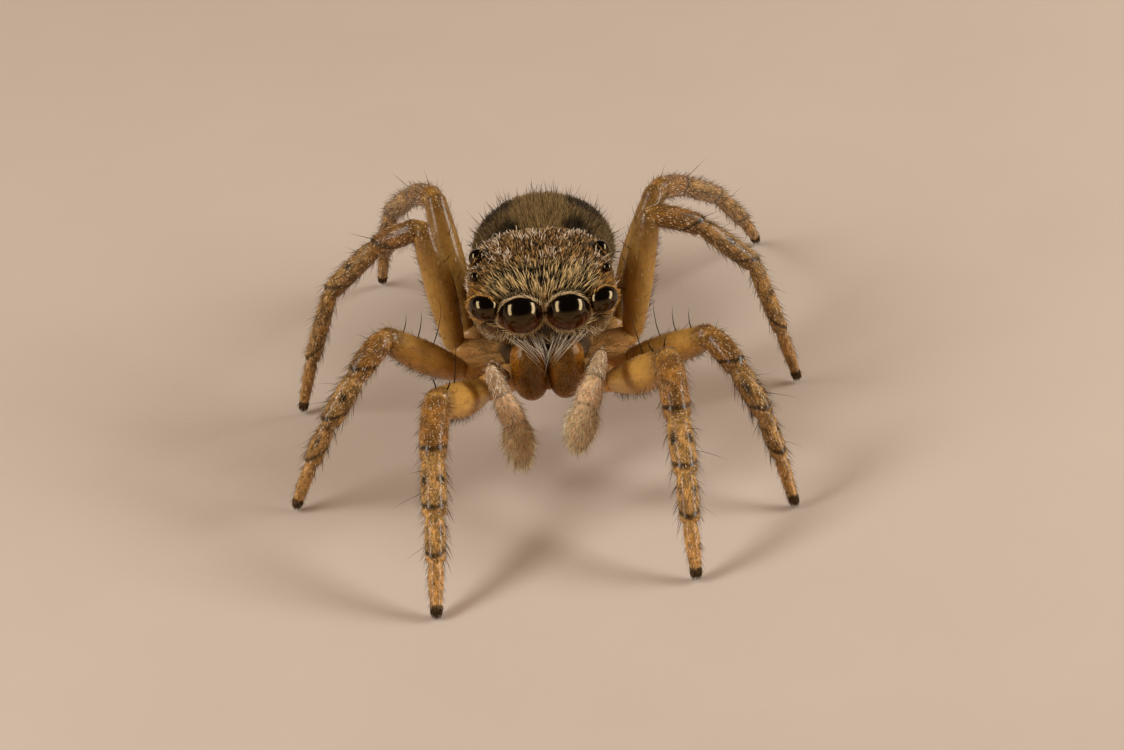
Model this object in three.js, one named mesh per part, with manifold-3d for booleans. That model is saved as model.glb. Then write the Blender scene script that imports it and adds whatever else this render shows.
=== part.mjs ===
// A life-size jumping spider in its alert stance, as a still model.
// Millimetres and degrees. +Z is up, the spider faces -Y, and its left side is +X.
// The finished group stands on Z = 0 with the middle of its outline over the origin.
import * as THREE from 'three';
import { LoftGeometry } from 'three/addons/geometries/LoftGeometry.js';
import { mergeVertices } from 'three/addons/utils/BufferGeometryUtils.js';
import Module from 'manifold-3d';

const wasm = await Module();
wasm.setup();

// ---------------------------------------------------------------- driving dimensions

// Head and thorax. Their own frame starts midway between the two big front eyes.
const EYE_HEIGHT = 2.46;
const HEAD_PITCH = 6.5;
const HEAD_YAW = 1;
const HEAD_ROLL = 1;
const CARAPACE_LENGTH = 2.66;

// The carapace from front to back, as pairs of a distance behind the face and a measure there:
// height of the roof, half width of the flanks, height of the lower margin, and the share by
// which the margin is narrower than the flanks.
const ROOF_LINE = [
  [0, 0.31], [0.3, 0.43], [0.8, 0.55], [1.3, 0.66],
  [1.75, 0.67], [2.1, 0.43], [2.4, -0.08], [CARAPACE_LENGTH, -0.66],
];
const FLANK_LINE = [
  [0, 0.73], [0.12, 0.87], [0.4, 1.04], [0.9, 1.11],
  [1.4, 1.12], [1.85, 1.04], [2.3, 0.78], [CARAPACE_LENGTH, 0.4],
];
const MARGIN_LINE = [[0, -0.51], [0.3, -0.66], [0.9, -0.85], [1.7, -0.95], [CARAPACE_LENGTH, -0.9]];
const TUCK_LINE = [[0, 0.22], [0.5, 0.18], [1, 0.1], [CARAPACE_LENGTH, 0.1]];

// Where the carapace's sections stand, the height at which its flanks are widest, and how
// square its arch is over the face and over the rear slope (2 is an ellipse).
const STATIONS = [0, 0.07, 0.2, 0.45, 0.85, 1.3, 1.7, 2.0, 2.25, 2.48, CARAPACE_LENGTH];
const FLANK_LEVEL = -0.15;
const FLANK_SHARE = 0.55;
const SQUARENESS = { face: 2.7, rear: 2.1, from: 1.3 };
const ARCH_STEPS = 12;
const TUCK_HALFWAY = 0.3;

// Abdomen.
const ABDOMEN_LENGTH = 3.4;
const ABDOMEN_WIDTH = 2.25;
const ABDOMEN_HEIGHT = 1.7;
const ABDOMEN_PITCH = 14;
const ABDOMEN_CENTRE = new THREE.Vector3(0.05, 4.28, 1.22);
const SPINNERET_LENGTH = 0.34;

// The egg's outline: rows of facets, how far its fullest place leans to the front, how blunt
// its front end is (0.5 is an ellipse) and how much more it tapers to the rear.
const ABDOMEN_OUTLINE = { rows: 12, lean: 0.95, blunt: 0.4, taper: 0.12 };

// Clearances between neighbouring pieces.
const JOINT_GAP = 0.02;
const SEAT_GAP = 0.015;

// Feet: how far the middle of a claw tuft stays above the floor.
const FOOT_LIFT = 0.05;

// Facets round a limb, an eye and a body section.
const LIMB_SIDES = 8;
const ABDOMEN_SIDES = 16;
const SIDES = { left: 1, right: -1 };
const UP = new THREE.Vector3(0, 0, 1);

// Segment lengths of each pair of legs, from the body outwards.
const LEG_LENGTHS = {
  1: [1.82, 1.06, 0.93, 0.72, 0.82],
  2: [1.73, 0.71, 0.80, 0.66, 0.75],
  3: [1.95, 0.82, 1.06, 1.17, 0.86],
  4: [2.09, 0.91, 1.35, 1.38, 0.75],
};

// Where each leg's trochanter meets its femur, in the head's frame, for the left side.
const LEG_BASES = {
  1: new THREE.Vector3(0.98, 0.5, -1.36),
  2: new THREE.Vector3(1.25, 1.02, -1.25),
  3: new THREE.Vector3(1.32, 1.58, -1.11),
  4: new THREE.Vector3(1.14, 2.12, -1.11),
};

// Where each coxa starts on the breastplate.
const COXA_ROOTS = {
  1: new THREE.Vector3(0.4, 0.8, -1.24),
  2: new THREE.Vector3(0.45, 1.16, -1.24),
  3: new THREE.Vector3(0.45, 1.5, -1.24),
  4: new THREE.Vector3(0.4, 1.86, -1.24),
};

// The pose. Each pair is a heading (0 is straight out to the side, -90 is forward, 90 is back)
// and a pitch (up is positive). A tarsus has a heading only: it slopes as far as the floor.
const LEG_POSES = {
  1: {
    left: [[-59, 34], [-87, -23], [-87, -29], [-91, -41], [-86]],
    right: [[-67, 24], [-85, -19], [-88, -29], [-87, -35], [-86]],
  },
  2: {
    left: [[-40, 29], [-57, -23], [-60, -37], [-67, -49], [-67]],
    right: [[-37, 40], [-43, -31], [-36, -45], [-18, -61], [-21]],
  },
  3: {
    left: [[29, 77], [7, -22], [4, -45], [-14, -73], [-17]],
    right: [[43, 76], [17, -26], [7, -45], [-7, -71], [-16]],
  },
  4: {
    left: [[58, 49], [58, -22], [62, -33], [65, -44], [63]],
    right: [[72, 61], [67, -21], [69, -36], [76, -54], [74]],
  },
};

// Palps: femur, patella, tibia and the club-shaped tarsus.
const PALP_LENGTHS = [0.89, 0.45, 0.47, 0.66];
const PALP_BASE = new THREE.Vector3(0.63, 0.36, -1.12);
const PALP_POSES = {
  left: [[-74, 45], [-112, -32], [-112, -28], [-130, -62]],
  right: [[-73, 39], [-135, -63], [-140, -62], [-105, -71]],
};

// Half thickness of a segment at its near joint, at its fullest place and at its far joint.
// full says how far along that place is, deep stretches the section from back to belly, and
// arch lifts the back of the segment between its joints.
const LEG_SECTIONS = {
  femur: { near: 0.21, belly: 0.285, far: 0.25, full: 0.5, deep: 1.06, arch: 0.04 },
  patella: { near: 0.25, belly: 0.27, far: 0.245, full: 0.5, deep: 1.03, arch: 0.03 },
  tibia: { near: 0.24, belly: 0.255, far: 0.23, full: 0.35, deep: 1, arch: 0 },
  metatarsus: { near: 0.225, belly: 0.23, far: 0.215, full: 0.3, deep: 1, arch: 0 },
  tarsus: { near: 0.205, belly: 0.2, far: 0.135, full: 0.4, deep: 1, arch: 0 },
};
const LEG_THICKNESS = { 1: 1, 2: 0.93, 3: 0.95, 4: 0.92 };

// The femora of the two front pairs bulge downwards instead, by this much.
const FEMUR_ARCH = { 1: -0.06, 2: -0.03, 3: 0.04, 4: 0.04 };

// Coxae are rods on the breastplate, under the same rules.
const COXA_SECTION = { near: 0.22, belly: 0.25, far: 0.215, full: 0.5, deep: 1, arch: 0 };
const PALP_SECTIONS = {
  femur: { near: 0.13, belly: 0.17, far: 0.19, full: 0.6, deep: 1, arch: 0 },
  patella: { near: 0.195, belly: 0.21, far: 0.2, full: 0.5, deep: 1, arch: 0 },
  tibia: { near: 0.2, belly: 0.225, far: 0.215, full: 0.5, deep: 1, arch: 0 },
  tarsus: { near: 0.21, belly: 0.25, far: 0.13, full: 0.4, deep: 1, arch: 0 },
};

// Eyes, left side, in the head's frame: the place of the ball and its radius.
const EYES = {
  anterior_median: { centre: new THREE.Vector3(0.345, 0.12, 0), radius: 0.33, facets: 12 },
  anterior_lateral: { centre: new THREE.Vector3(0.89, 0.2, 0.085), radius: 0.205, facets: 12 },
  posterior_median: { centre: new THREE.Vector3(0.97, 0.72, 0.35), radius: 0.075, facets: 8 },
  posterior_lateral: { centre: new THREE.Vector3(0.905, 1.25, 0.44), radius: 0.135, facets: 10 },
};

// Rings of facets in an eye for each facet round it.
const EYE_RINGS = 0.6;

// Each chelicera hangs from the face, with its fang folded in along its lower end.
const CHELICERA = {
  width: 1.02,
  depth: 1,
  length: 0.95,
  place: new THREE.Vector3(0.27, 0.24, -0.5),
  section: { near: 0.22, belly: 0.25, far: 0.19, full: 0.45, deep: 1, arch: 0 },
  sides: 10,
};
const FANG = {
  length: 0.22,
  place: new THREE.Vector3(0.35, 0.36, -1.33),
  turn: new THREE.Euler(-0.5, 0, 1.2),
  section: { near: 0.09, belly: 0.07, far: 0.03, full: 0.4, deep: 1, arch: -0.05 },
};

// The breastplate: half its size and its middle, in the head's frame.
const STERNUM_SIZE = new THREE.Vector3(0.78, 1, 0.42);
const STERNUM_CENTRE = new THREE.Vector3(0, 1.5, -1.08);
const STERNUM_FACETS = { round: 12, rings: 6 };
const COXA_SIDES = 7;

// Lip and maxillae, from the breastplate forwards, in the head's frame.
const LIP = {
  from: new THREE.Vector3(0, 0.78, -1.22),
  to: new THREE.Vector3(0, 0.5, -1.4),
  section: { near: 0.15, belly: 0.16, far: 0.12, full: 0.5, deep: 1, arch: 0 },
};
const MAXILLA = {
  from: new THREE.Vector3(0.26, 0.78, -1.2),
  to: new THREE.Vector3(0.17, 0.42, -1.46),
  section: { near: 0.16, belly: 0.17, far: 0.15, full: 0.6, deep: 1, arch: 0 },
};

// The waist runs from the back of the thorax (head's frame) into the front of the abdomen
// (measured from the abdomen's middle).
const WAIST = {
  from: new THREE.Vector3(0, 2.3, -1.08),
  to: new THREE.Vector3(-0.02, -1.3, 0),
  section: { near: 0.2, belly: 0.17, far: 0.2, full: 0.5, deep: 1, arch: 0 },
};

// Spinnerets in the abdomen's own frame: a short ring, and two cones on each side.
const SPINNERET_RING = {
  sunk: 0.12,
  level: -0.06,
  section: { near: 0.18, belly: 0.19, far: 0.17, full: 0.5, deep: 1, arch: 0 },
};
const SPINNERET_CONE = {
  spread: 0.08,
  splay: 0.03,
  levels: [0.03, -0.15],
  section: { near: 0.1, belly: 0.11, far: 0.07, full: 0.35, deep: 1, arch: 0 },
  sides: 6,
};

// ---------------------------------------------------------------- helpers

const radians = THREE.MathUtils.degToRad;

function finish(color, roughness, metalness = 0) {
  return new THREE.MeshStandardMaterial({ color, roughness, metalness });
}

// Colours are sRGB, as seen on the living animal.
const FINISHES = {
  carapace: () => finish('#5a4a30', 0.8),
  sternum: () => finish('#7d5a34', 0.6),
  abdomen: () => finish('#4a4030', 0.85),
  pedicel: () => finish('#5a4028', 0.7),
  spinnerets: () => finish('#6b5238', 0.7),
  mouthparts: () => finish('#6b4526', 0.5),
  chelicera: () => finish('#6e3d1c', 0.35),
  palp: () => finish('#b39a78', 0.8),
  eye: () => finish('#140a06', 0.08),
  femur: () => finish('#b5803e', 0.45),
  shank: () => finish('#a8682c', 0.45),
};

// Turns a closed three.js geometry into a solid: shared corners merge, flat slivers go.
const MERGE_DISTANCE = 1e-5;
function solidOf(geometry) {
  const bare = new THREE.BufferGeometry().copy(geometry);
  bare.deleteAttribute('normal');
  bare.deleteAttribute('uv');
  const merged = mergeVertices(bare, MERGE_DISTANCE);
  const corners = Array.from(merged.index.array);
  const kept = [];
  for (let i = 0; i < corners.length; i += 3) {
    const [a, b, c] = corners.slice(i, i + 3);
    if (a !== b && b !== c && c !== a) kept.push(a, b, c);
  }
  const mesh = new wasm.Mesh({
    numProp: 3,
    vertProperties: merged.attributes.position.array,
    triVerts: new Uint32Array(kept),
  });
  return new wasm.Manifold(mesh);
}

// Turns a solid back into a geometry that can be drawn.
function geometryOf(solid) {
  const mesh = solid.getMesh();
  const geometry = new THREE.BufferGeometry();
  geometry.setAttribute('position', new THREE.BufferAttribute(mesh.vertProperties, 3));
  geometry.setIndex(new THREE.BufferAttribute(mesh.triVerts, 1));
  const flat = geometry.toNonIndexed();
  flat.computeVertexNormals();
  return flat;
}

function moved(geometry, position, rotation, scale) {
  const matrix = new THREE.Matrix4();
  const turn = new THREE.Quaternion().setFromEuler(rotation ?? new THREE.Euler());
  matrix.compose(position, turn, scale ?? new THREE.Vector3(1, 1, 1));
  return geometry.applyMatrix4(matrix);
}

function piece(name, solid, material, parent) {
  const mesh = new THREE.Mesh(geometryOf(solid), material);
  mesh.name = name;
  parent.add(mesh);
  return mesh;
}

function mirrored(vector, side) {
  return new THREE.Vector3(vector.x * side, vector.y, vector.z);
}

// Keeps the part of a solid on the side of a plane that its normal points to.
function trimmed(solid, normal, offset) {
  return solid.trimByPlane([normal.x, normal.y, normal.z], offset);
}

// A spindle along +Y with rounded ends, revolved from a profile of half thicknesses.
function spindle(length, { near, belly, far, full, deep, arch }, sides = LIMB_SIDES) {
  const bevel = Math.SQRT1_2;
  const profile = [
    new THREE.Vector2(0, -near),
    new THREE.Vector2(near * bevel, -near * bevel),
    new THREE.Vector2(near, 0),
    new THREE.Vector2(belly, length * full),
    new THREE.Vector2(far, length),
    new THREE.Vector2(far * bevel, length + far * bevel),
    new THREE.Vector2(0, length + far),
  ];
  const geometry = new THREE.LatheGeometry(profile, sides);
  const places = geometry.attributes.position;
  for (let i = 0; i < places.count; i++) {
    const along = THREE.MathUtils.clamp(places.getY(i) / length, 0, 1);
    const lift = arch * Math.sin(Math.PI * along);
    places.setXYZ(i, places.getX(i) / deep, places.getY(i), places.getZ(i) * deep + lift);
  }
  return geometry;
}

// The same section, thicker or thinner.
function scaled(section, factor) {
  const { near, belly, far } = section;
  return { ...section, near: near * factor, belly: belly * factor, far: far * factor };
}

// ---------------------------------------------------------------- placing

const spider = new THREE.Group();

const prosoma = new THREE.Group();
prosoma.position.set(0, 0, EYE_HEIGHT);
prosoma.rotation.set(-radians(HEAD_PITCH), radians(HEAD_ROLL), radians(HEAD_YAW), 'ZXY');
prosoma.updateMatrix();
spider.add(prosoma);

function fromHead(vector) {
  return vector.clone().applyMatrix4(prosoma.matrix);
}

// The direction of a segment, from its heading and pitch.
function direction(side, heading, pitch) {
  const level = Math.cos(radians(pitch));
  return new THREE.Vector3(
    side * level * Math.cos(radians(heading)),
    level * Math.sin(radians(heading)),
    Math.sin(radians(pitch)),
  );
}

// Joints and directions of a limb. A last segment without a pitch slopes down to the floor.
function limbPath(base, lengths, pose, side) {
  const joints = [base];
  const directions = [];
  pose.forEach(([heading, pitch], i) => {
    const start = joints[i];
    const drop = Math.asin((start.z - FOOT_LIFT) / lengths[i]);
    const slope = pitch ?? -THREE.MathUtils.radToDeg(drop);
    const way = direction(side, heading, slope);
    directions.push(way);
    joints.push(start.clone().addScaledVector(way, lengths[i]));
  });
  return { joints, directions };
}

// A frame with +Y along the segment and +Z towards its back.
function segmentTurn(way) {
  const across = new THREE.Vector3().crossVectors(way, UP).normalize();
  const back = new THREE.Vector3().crossVectors(across, way);
  const basis = new THREE.Matrix4().makeBasis(across, way, back);
  return new THREE.Quaternion().setFromRotationMatrix(basis);
}

// Cuts both ends of a segment on the planes that halve its joints, so that neighbours meet
// with a thin gap. before and after are the neighbours' directions, null at a free end.
function jointCuts(solid, length, way, before, after) {
  const unturn = segmentTurn(way).invert();
  let result = solid;
  if (before) {
    const normal = before.clone().add(way).normalize().applyQuaternion(unturn);
    result = trimmed(result, normal, JOINT_GAP / 2);
  }
  if (after) {
    const normal = after.clone().add(way).normalize().applyQuaternion(unturn);
    result = trimmed(result, normal.clone().negate(), -normal.y * length + JOINT_GAP / 2);
  }
  return result;
}

// A solid that was made along +Y, put at its start and turned along its way.
function inPlace(solid, start, way) {
  const matrix = new THREE.Matrix4();
  matrix.compose(start, segmentTurn(way), new THREE.Vector3(1, 1, 1));
  return solid.transform(matrix.elements);
}

// ---------------------------------------------------------------- carapace

function curveOf(points) {
  return new THREE.SplineCurve(points.map(([y, value]) => new THREE.Vector2(y, value)));
}

// A value of a profile curve at a distance y behind the front eyes, found by halving.
const HALVINGS = 30;
function valueAt(curve, y) {
  let low = 0;
  let high = 1;
  for (let step = 0; step < HALVINGS; step++) {
    const middle = (low + high) / 2;
    if (curve.getPoint(middle).x < y) low = middle;
    else high = middle;
  }
  return curve.getPoint(low).y;
}

const roofLine = curveOf(ROOF_LINE);
const flankLine = curveOf(FLANK_LINE);
const marginLine = curveOf(MARGIN_LINE);
const tuckLine = curveOf(TUCK_LINE);

// One section: an arch over the flanks, and flanks that tuck in to a straight lower edge.
function carapaceSection(y, grow) {
  const half = valueAt(flankLine, y) + grow;
  const roof = valueAt(roofLine, y) + grow;
  const margin = valueAt(marginLine, y) - grow;
  const tuck = valueAt(tuckLine, y);
  const flank = Math.min(FLANK_LEVEL, THREE.MathUtils.lerp(margin, roof, FLANK_SHARE));
  const rearwards = THREE.MathUtils.smoothstep(y, SQUARENESS.from, CARAPACE_LENGTH);
  const square = THREE.MathUtils.lerp(SQUARENESS.face, SQUARENESS.rear, rearwards);
  const arch = [];
  for (let i = 0; i <= ARCH_STEPS; i++) {
    const angle = (Math.PI * i) / ARCH_STEPS;
    const across = Math.sign(Math.cos(angle)) * Math.abs(Math.cos(angle)) ** (2 / square);
    const up = Math.sin(angle) ** (2 / square);
    arch.push(new THREE.Vector3(-half * across, y, flank + (roof - flank) * up));
  }
  const atMargin = half * (1 - tuck);
  const atMiddle = half * (1 - tuck * TUCK_HALFWAY);
  const middle = (flank + margin) / 2;
  return [
    new THREE.Vector3(-atMargin, y, margin),
    new THREE.Vector3(-atMiddle, y, middle),
    ...arch,
    new THREE.Vector3(atMiddle, y, middle),
    new THREE.Vector3(atMargin, y, margin),
  ];
}

function carapaceSolid(grow = 0) {
  const sections = STATIONS.map((y) => {
    const end = y === 0 ? -grow : y === CARAPACE_LENGTH ? grow : 0;
    return carapaceSection(y, grow).map((point) => point.setY(y + end));
  });
  return solidOf(new LoftGeometry(sections, { capStart: true, capEnd: true }));
}

// Turns the poles of a ball to the front and the back.
const FORWARDS = new THREE.Euler(Math.PI / 2, 0, 0);

function eyeBall(eye, side, grow = 0) {
  const rings = Math.round(eye.facets * EYE_RINGS);
  const ball = new THREE.SphereGeometry(eye.radius + grow, eye.facets, rings);
  return moved(ball, mirrored(eye.centre, side), FORWARDS);
}

let carapace = carapaceSolid();
for (const side of Object.values(SIDES)) {
  for (const eye of Object.values(EYES)) {
    carapace = carapace.subtract(solidOf(eyeBall(eye, side, SEAT_GAP)));
  }
}
piece('carapace', carapace, FINISHES.carapace(), prosoma);

// ---------------------------------------------------------------- eyes

for (const [sideName, side] of Object.entries(SIDES)) {
  for (const [eyeName, eye] of Object.entries(EYES)) {
    piece(`eye_${eyeName}_${sideName}`, solidOf(eyeBall(eye, side)), FINISHES.eye(), prosoma);
  }
}

// ---------------------------------------------------------------- chelicerae

// width and depth stretch the round section; grow adds to both.
function cheliceraSolid(side, grow = 0) {
  const { width, depth, length, place, section, sides } = CHELICERA;
  const trunk = spindle(length - section.far, section, sides);
  const scale = new THREE.Vector3(width + grow, 1, depth + grow);
  const hang = new THREE.Euler(-Math.PI / 2, 0, 0);
  return solidOf(moved(trunk, mirrored(place, side), hang, scale));
}

function fangSolid(side) {
  const turn = new THREE.Euler(FANG.turn.x, FANG.turn.y, side * FANG.turn.z);
  return solidOf(moved(spindle(FANG.length, FANG.section), mirrored(FANG.place, side), turn));
}

const headShell = carapaceSolid(SEAT_GAP);
for (const [sideName, side] of Object.entries(SIDES)) {
  const solid = cheliceraSolid(side).add(fangSolid(side)).subtract(headShell);
  const inner = new THREE.Vector3(side, 0, 0);
  const half = trimmed(solid, inner, JOINT_GAP / 2);
  piece(`chelicera_${sideName}`, half, FINISHES.chelicera(), prosoma);
}

// ---------------------------------------------------------------- legs

const limbs = [];
for (const [sideName, side] of Object.entries(SIDES)) {
  for (const number of Object.keys(LEG_LENGTHS)) {
    const base = fromHead(mirrored(LEG_BASES[number], side));
    const lengths = LEG_LENGTHS[number];
    const path = limbPath(base, lengths, LEG_POSES[number][sideName], side);
    limbs.push({ name: `leg_${number}_${sideName}`, number, side, lengths, ...path });
  }
}

function coxaWay(limb) {
  const root = fromHead(mirrored(COXA_ROOTS[limb.number], limb.side));
  return limb.joints[0].clone().sub(root).normalize();
}

for (const limb of limbs) {
  const group = new THREE.Group();
  spider.add(group);
  Object.entries(LEG_SECTIONS).forEach(([segment, section], i, all) => {
    const way = limb.directions[i];
    const last = i === all.length - 1;
    const before = i === 0 ? coxaWay(limb) : limb.directions[i - 1];
    const shape = scaled(section, LEG_THICKNESS[limb.number]);
    if (segment === 'femur') shape.arch = FEMUR_ARCH[limb.number];
    let solid = solidOf(spindle(limb.lengths[i], shape));
    solid = jointCuts(solid, limb.lengths[i], way, before, last ? null : limb.directions[i + 1]);
    if (last) {
      const up = UP.clone().applyQuaternion(segmentTurn(way).invert());
      solid = trimmed(solid, up, -limb.joints[i].z);
    }
    const look = segment === 'femur' ? FINISHES.femur() : FINISHES.shank();
    const mesh = piece(`${limb.name}_${segment}`, solid, look, group);
    mesh.position.copy(limb.joints[i]);
    mesh.quaternion.copy(segmentTurn(way));
  });
}

// ---------------------------------------------------------------- abdomen, pedicel, spinnerets

function abdomenSolid(grow = 0) {
  const { rows, lean, blunt, taper } = ABDOMEN_OUTLINE;
  const profile = [];
  for (let i = 0; i <= rows; i++) {
    const along = (1 - Math.cos((Math.PI * i) / rows)) / 2;
    const round = Math.sin(Math.PI * along ** lean) ** (blunt + taper * along);
    profile.push(new THREE.Vector2(i === 0 || i === rows ? 0 : round, along - 0.5));
  }
  const egg = new THREE.LatheGeometry(profile, ABDOMEN_SIDES);
  const scale = new THREE.Vector3(
    ABDOMEN_WIDTH / 2 + grow, ABDOMEN_LENGTH + 2 * grow, ABDOMEN_HEIGHT / 2 + grow,
  );
  return solidOf(moved(egg, ABDOMEN_CENTRE, new THREE.Euler(-radians(ABDOMEN_PITCH), 0, 0), scale));
}

piece('abdomen', abdomenSolid(), FINISHES.abdomen(), spider);

// A rounded rod between two points, all in one frame.
function rod(from, to, shape, sides = LIMB_SIDES) {
  const way = to.clone().sub(from);
  const length = way.length();
  return inPlace(solidOf(spindle(length, shape, sides)), from, way.normalize());
}

// The underside: breastplate, soft flanks and the eight coxae with their trochanters.
function sternumSolid(grow = 0) {
  const shield = new THREE.SphereGeometry(1, STERNUM_FACETS.round, STERNUM_FACETS.rings);
  const size = STERNUM_SIZE.clone().addScalar(grow);
  const inHead = moved(shield, STERNUM_CENTRE, null, size);
  let solid = solidOf(inHead.applyMatrix4(prosoma.matrix));
  for (const limb of limbs) {
    const root = fromHead(mirrored(COXA_ROOTS[limb.number], limb.side));
    const way = coxaWay(limb);
    const normal = way.clone().add(limb.directions[0]).normalize().negate();
    const thickness = LEG_THICKNESS[limb.number] + grow / COXA_SECTION.belly;
    const coxa = rod(root, limb.joints[0], scaled(COXA_SECTION, thickness), COXA_SIDES);
    const face = normal.dot(limb.joints[0]) + JOINT_GAP / 2 - grow;
    solid = solid.add(trimmed(coxa, normal, face));
  }
  return solid;
}

const shellInPlace = headShell.transform(prosoma.matrix.elements);
piece('sternum_with_coxae', sternumSolid().subtract(shellInPlace), FINISHES.sternum(), spider);
const sternumShell = sternumSolid(SEAT_GAP);

const abdomenShell = abdomenSolid(SEAT_GAP);

// Spinnerets: a short ring with two upper and two lower cones.
const tail = new THREE.Group();
tail.position.copy(ABDOMEN_CENTRE);
tail.rotation.x = -radians(ABDOMEN_PITCH);
spider.add(tail);
const rearEnd = ABDOMEN_LENGTH / 2;
const ringFrom = new THREE.Vector3(0, rearEnd - SPINNERET_RING.sunk, SPINNERET_RING.level);
const ringTo = new THREE.Vector3(0, rearEnd, SPINNERET_RING.level);
let spinnerets = rod(ringFrom, ringTo, SPINNERET_RING.section);
for (const side of Object.values(SIDES)) {
  const { spread, splay, levels, section, sides } = SPINNERET_CONE;
  for (const level of levels) {
    const from = new THREE.Vector3(side * spread, ringFrom.y, level);
    const to = from.clone().add(new THREE.Vector3(side * splay, SPINNERET_LENGTH, 0));
    spinnerets = spinnerets.add(rod(from, to, section, sides));
  }
}
tail.updateMatrix();
const spinneretsInPlace = spinnerets.transform(tail.matrix.elements).subtract(abdomenShell);
piece('spinnerets', spinneretsInPlace, FINISHES.spinnerets(), spider);

// The waist between the thorax and the abdomen.
const waist = rod(fromHead(WAIST.from), ABDOMEN_CENTRE.clone().add(WAIST.to), WAIST.section);
const pedicel = waist.subtract(abdomenShell).subtract(shellInPlace).subtract(sternumShell);
piece('pedicel', pedicel, FINISHES.pedicel(), spider);

// Maxillae either side of the lip, with the palps' coxae.
let mouth = rod(LIP.from, LIP.to, LIP.section);
for (const side of Object.values(SIDES)) {
  const maxilla = rod(mirrored(MAXILLA.from, side), mirrored(MAXILLA.to, side), MAXILLA.section);
  mouth = mouth.add(maxilla);
}
let mouthparts = mouth.transform(prosoma.matrix.elements).subtract(sternumShell);
for (const side of Object.values(SIDES)) {
  const inFront = cheliceraSolid(side, 2 * SEAT_GAP).add(fangSolid(side));
  mouthparts = mouthparts.subtract(inFront.transform(prosoma.matrix.elements));
}
piece('mouthparts', mouthparts, FINISHES.mouthparts(), spider);

// ---------------------------------------------------------------- palps

for (const [sideName, side] of Object.entries(SIDES)) {
  const base = fromHead(mirrored(PALP_BASE, side));
  const { joints, directions } = limbPath(base, PALP_LENGTHS, PALP_POSES[sideName], side);
  const tarsus = PALP_LENGTHS.length - 1;
  const segments = Object.values(PALP_SECTIONS).map((section, i) => {
    const before = i === tarsus ? directions[i - 1] : null;
    const after = i === tarsus - 1 ? directions[i + 1] : null;
    const spool = solidOf(spindle(PALP_LENGTHS[i], section));
    const solid = jointCuts(spool, PALP_LENGTHS[i], directions[i], before, after);
    return inPlace(solid, joints[i], directions[i]);
  });
  const arm = segments[0].add(segments[1]).add(segments[2]).subtract(sternumShell);
  piece(`palp_${sideName}_arm`, arm, FINISHES.palp(), spider);
  piece(`palp_${sideName}_tarsus`, segments[tarsus], FINISHES.palp(), spider);
}

// ---------------------------------------------------------------- origin

// The model stands with the middle of its outline over the origin, on Z = 0.
const outline = new THREE.Box3().setFromObject(spider, true);
const middle = outline.getCenter(new THREE.Vector3());
spider.position.set(-middle.x, -middle.y, -outline.min.z);

export default spider;
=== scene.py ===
"""A life-size jumping spider, dressed: smooth skin, glossy eyes, scale-hair, spines and claw tufts.

Shapes are worked out in millimetres, in the same frame as the solids: +Z is up, the spider faces
-Y and its left side is +X. Pieces are made in metres.
"""

import math
from collections import namedtuple
from functools import cache, partial

import bmesh
import bpy
import numpy as np
from mathutils import Matrix, Vector, noise


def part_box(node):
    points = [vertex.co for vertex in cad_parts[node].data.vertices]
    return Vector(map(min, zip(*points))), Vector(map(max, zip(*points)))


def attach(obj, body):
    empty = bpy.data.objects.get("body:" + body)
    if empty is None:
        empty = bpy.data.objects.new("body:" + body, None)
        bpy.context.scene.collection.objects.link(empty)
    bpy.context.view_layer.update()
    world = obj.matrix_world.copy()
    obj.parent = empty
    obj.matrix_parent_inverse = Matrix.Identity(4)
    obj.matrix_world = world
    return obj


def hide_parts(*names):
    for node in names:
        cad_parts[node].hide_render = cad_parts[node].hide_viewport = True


bl_info = {
    "name": "Jumping Spider",
    "version": (1, 0, 0),
    "blender": (4, 5, 0),
    "location": "3D View > Sidebar > Spider",
    "description": "Dresses the solids of a life-size jumping spider with skin, eyes and hair",
    "category": "Object",
}

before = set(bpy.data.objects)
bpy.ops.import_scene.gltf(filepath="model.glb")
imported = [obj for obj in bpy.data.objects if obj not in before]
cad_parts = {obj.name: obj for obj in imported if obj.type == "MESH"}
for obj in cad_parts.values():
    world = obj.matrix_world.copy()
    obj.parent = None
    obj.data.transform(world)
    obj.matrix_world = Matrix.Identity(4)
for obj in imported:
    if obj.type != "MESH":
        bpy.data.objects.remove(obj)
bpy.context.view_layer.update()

MM = 0.001
BODY = "root"
SIDES = {"left": 1.0, "right": -1.0}
UP = np.array([0.0, 0.0, 1.0])
MARKINGS = "markings"
BAKE_MAP = "OFBake"
# Where a piece with one sheet lies on its map, as (left, low, wide, high).
WHOLE_PATCH = (0.02, 0.02, 0.96, 0.96)
# Points nearer than this become one (metres).
WELD = 1e-8


# ---------------------------------------------------------------- the body's measures (mm, degrees)

# The head's own frame starts midway between the two big front eyes.
EYE_HEIGHT = 2.46
HEAD_PITCH = 6.5
HEAD_YAW = 1.0
HEAD_ROLL = 1.0

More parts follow.
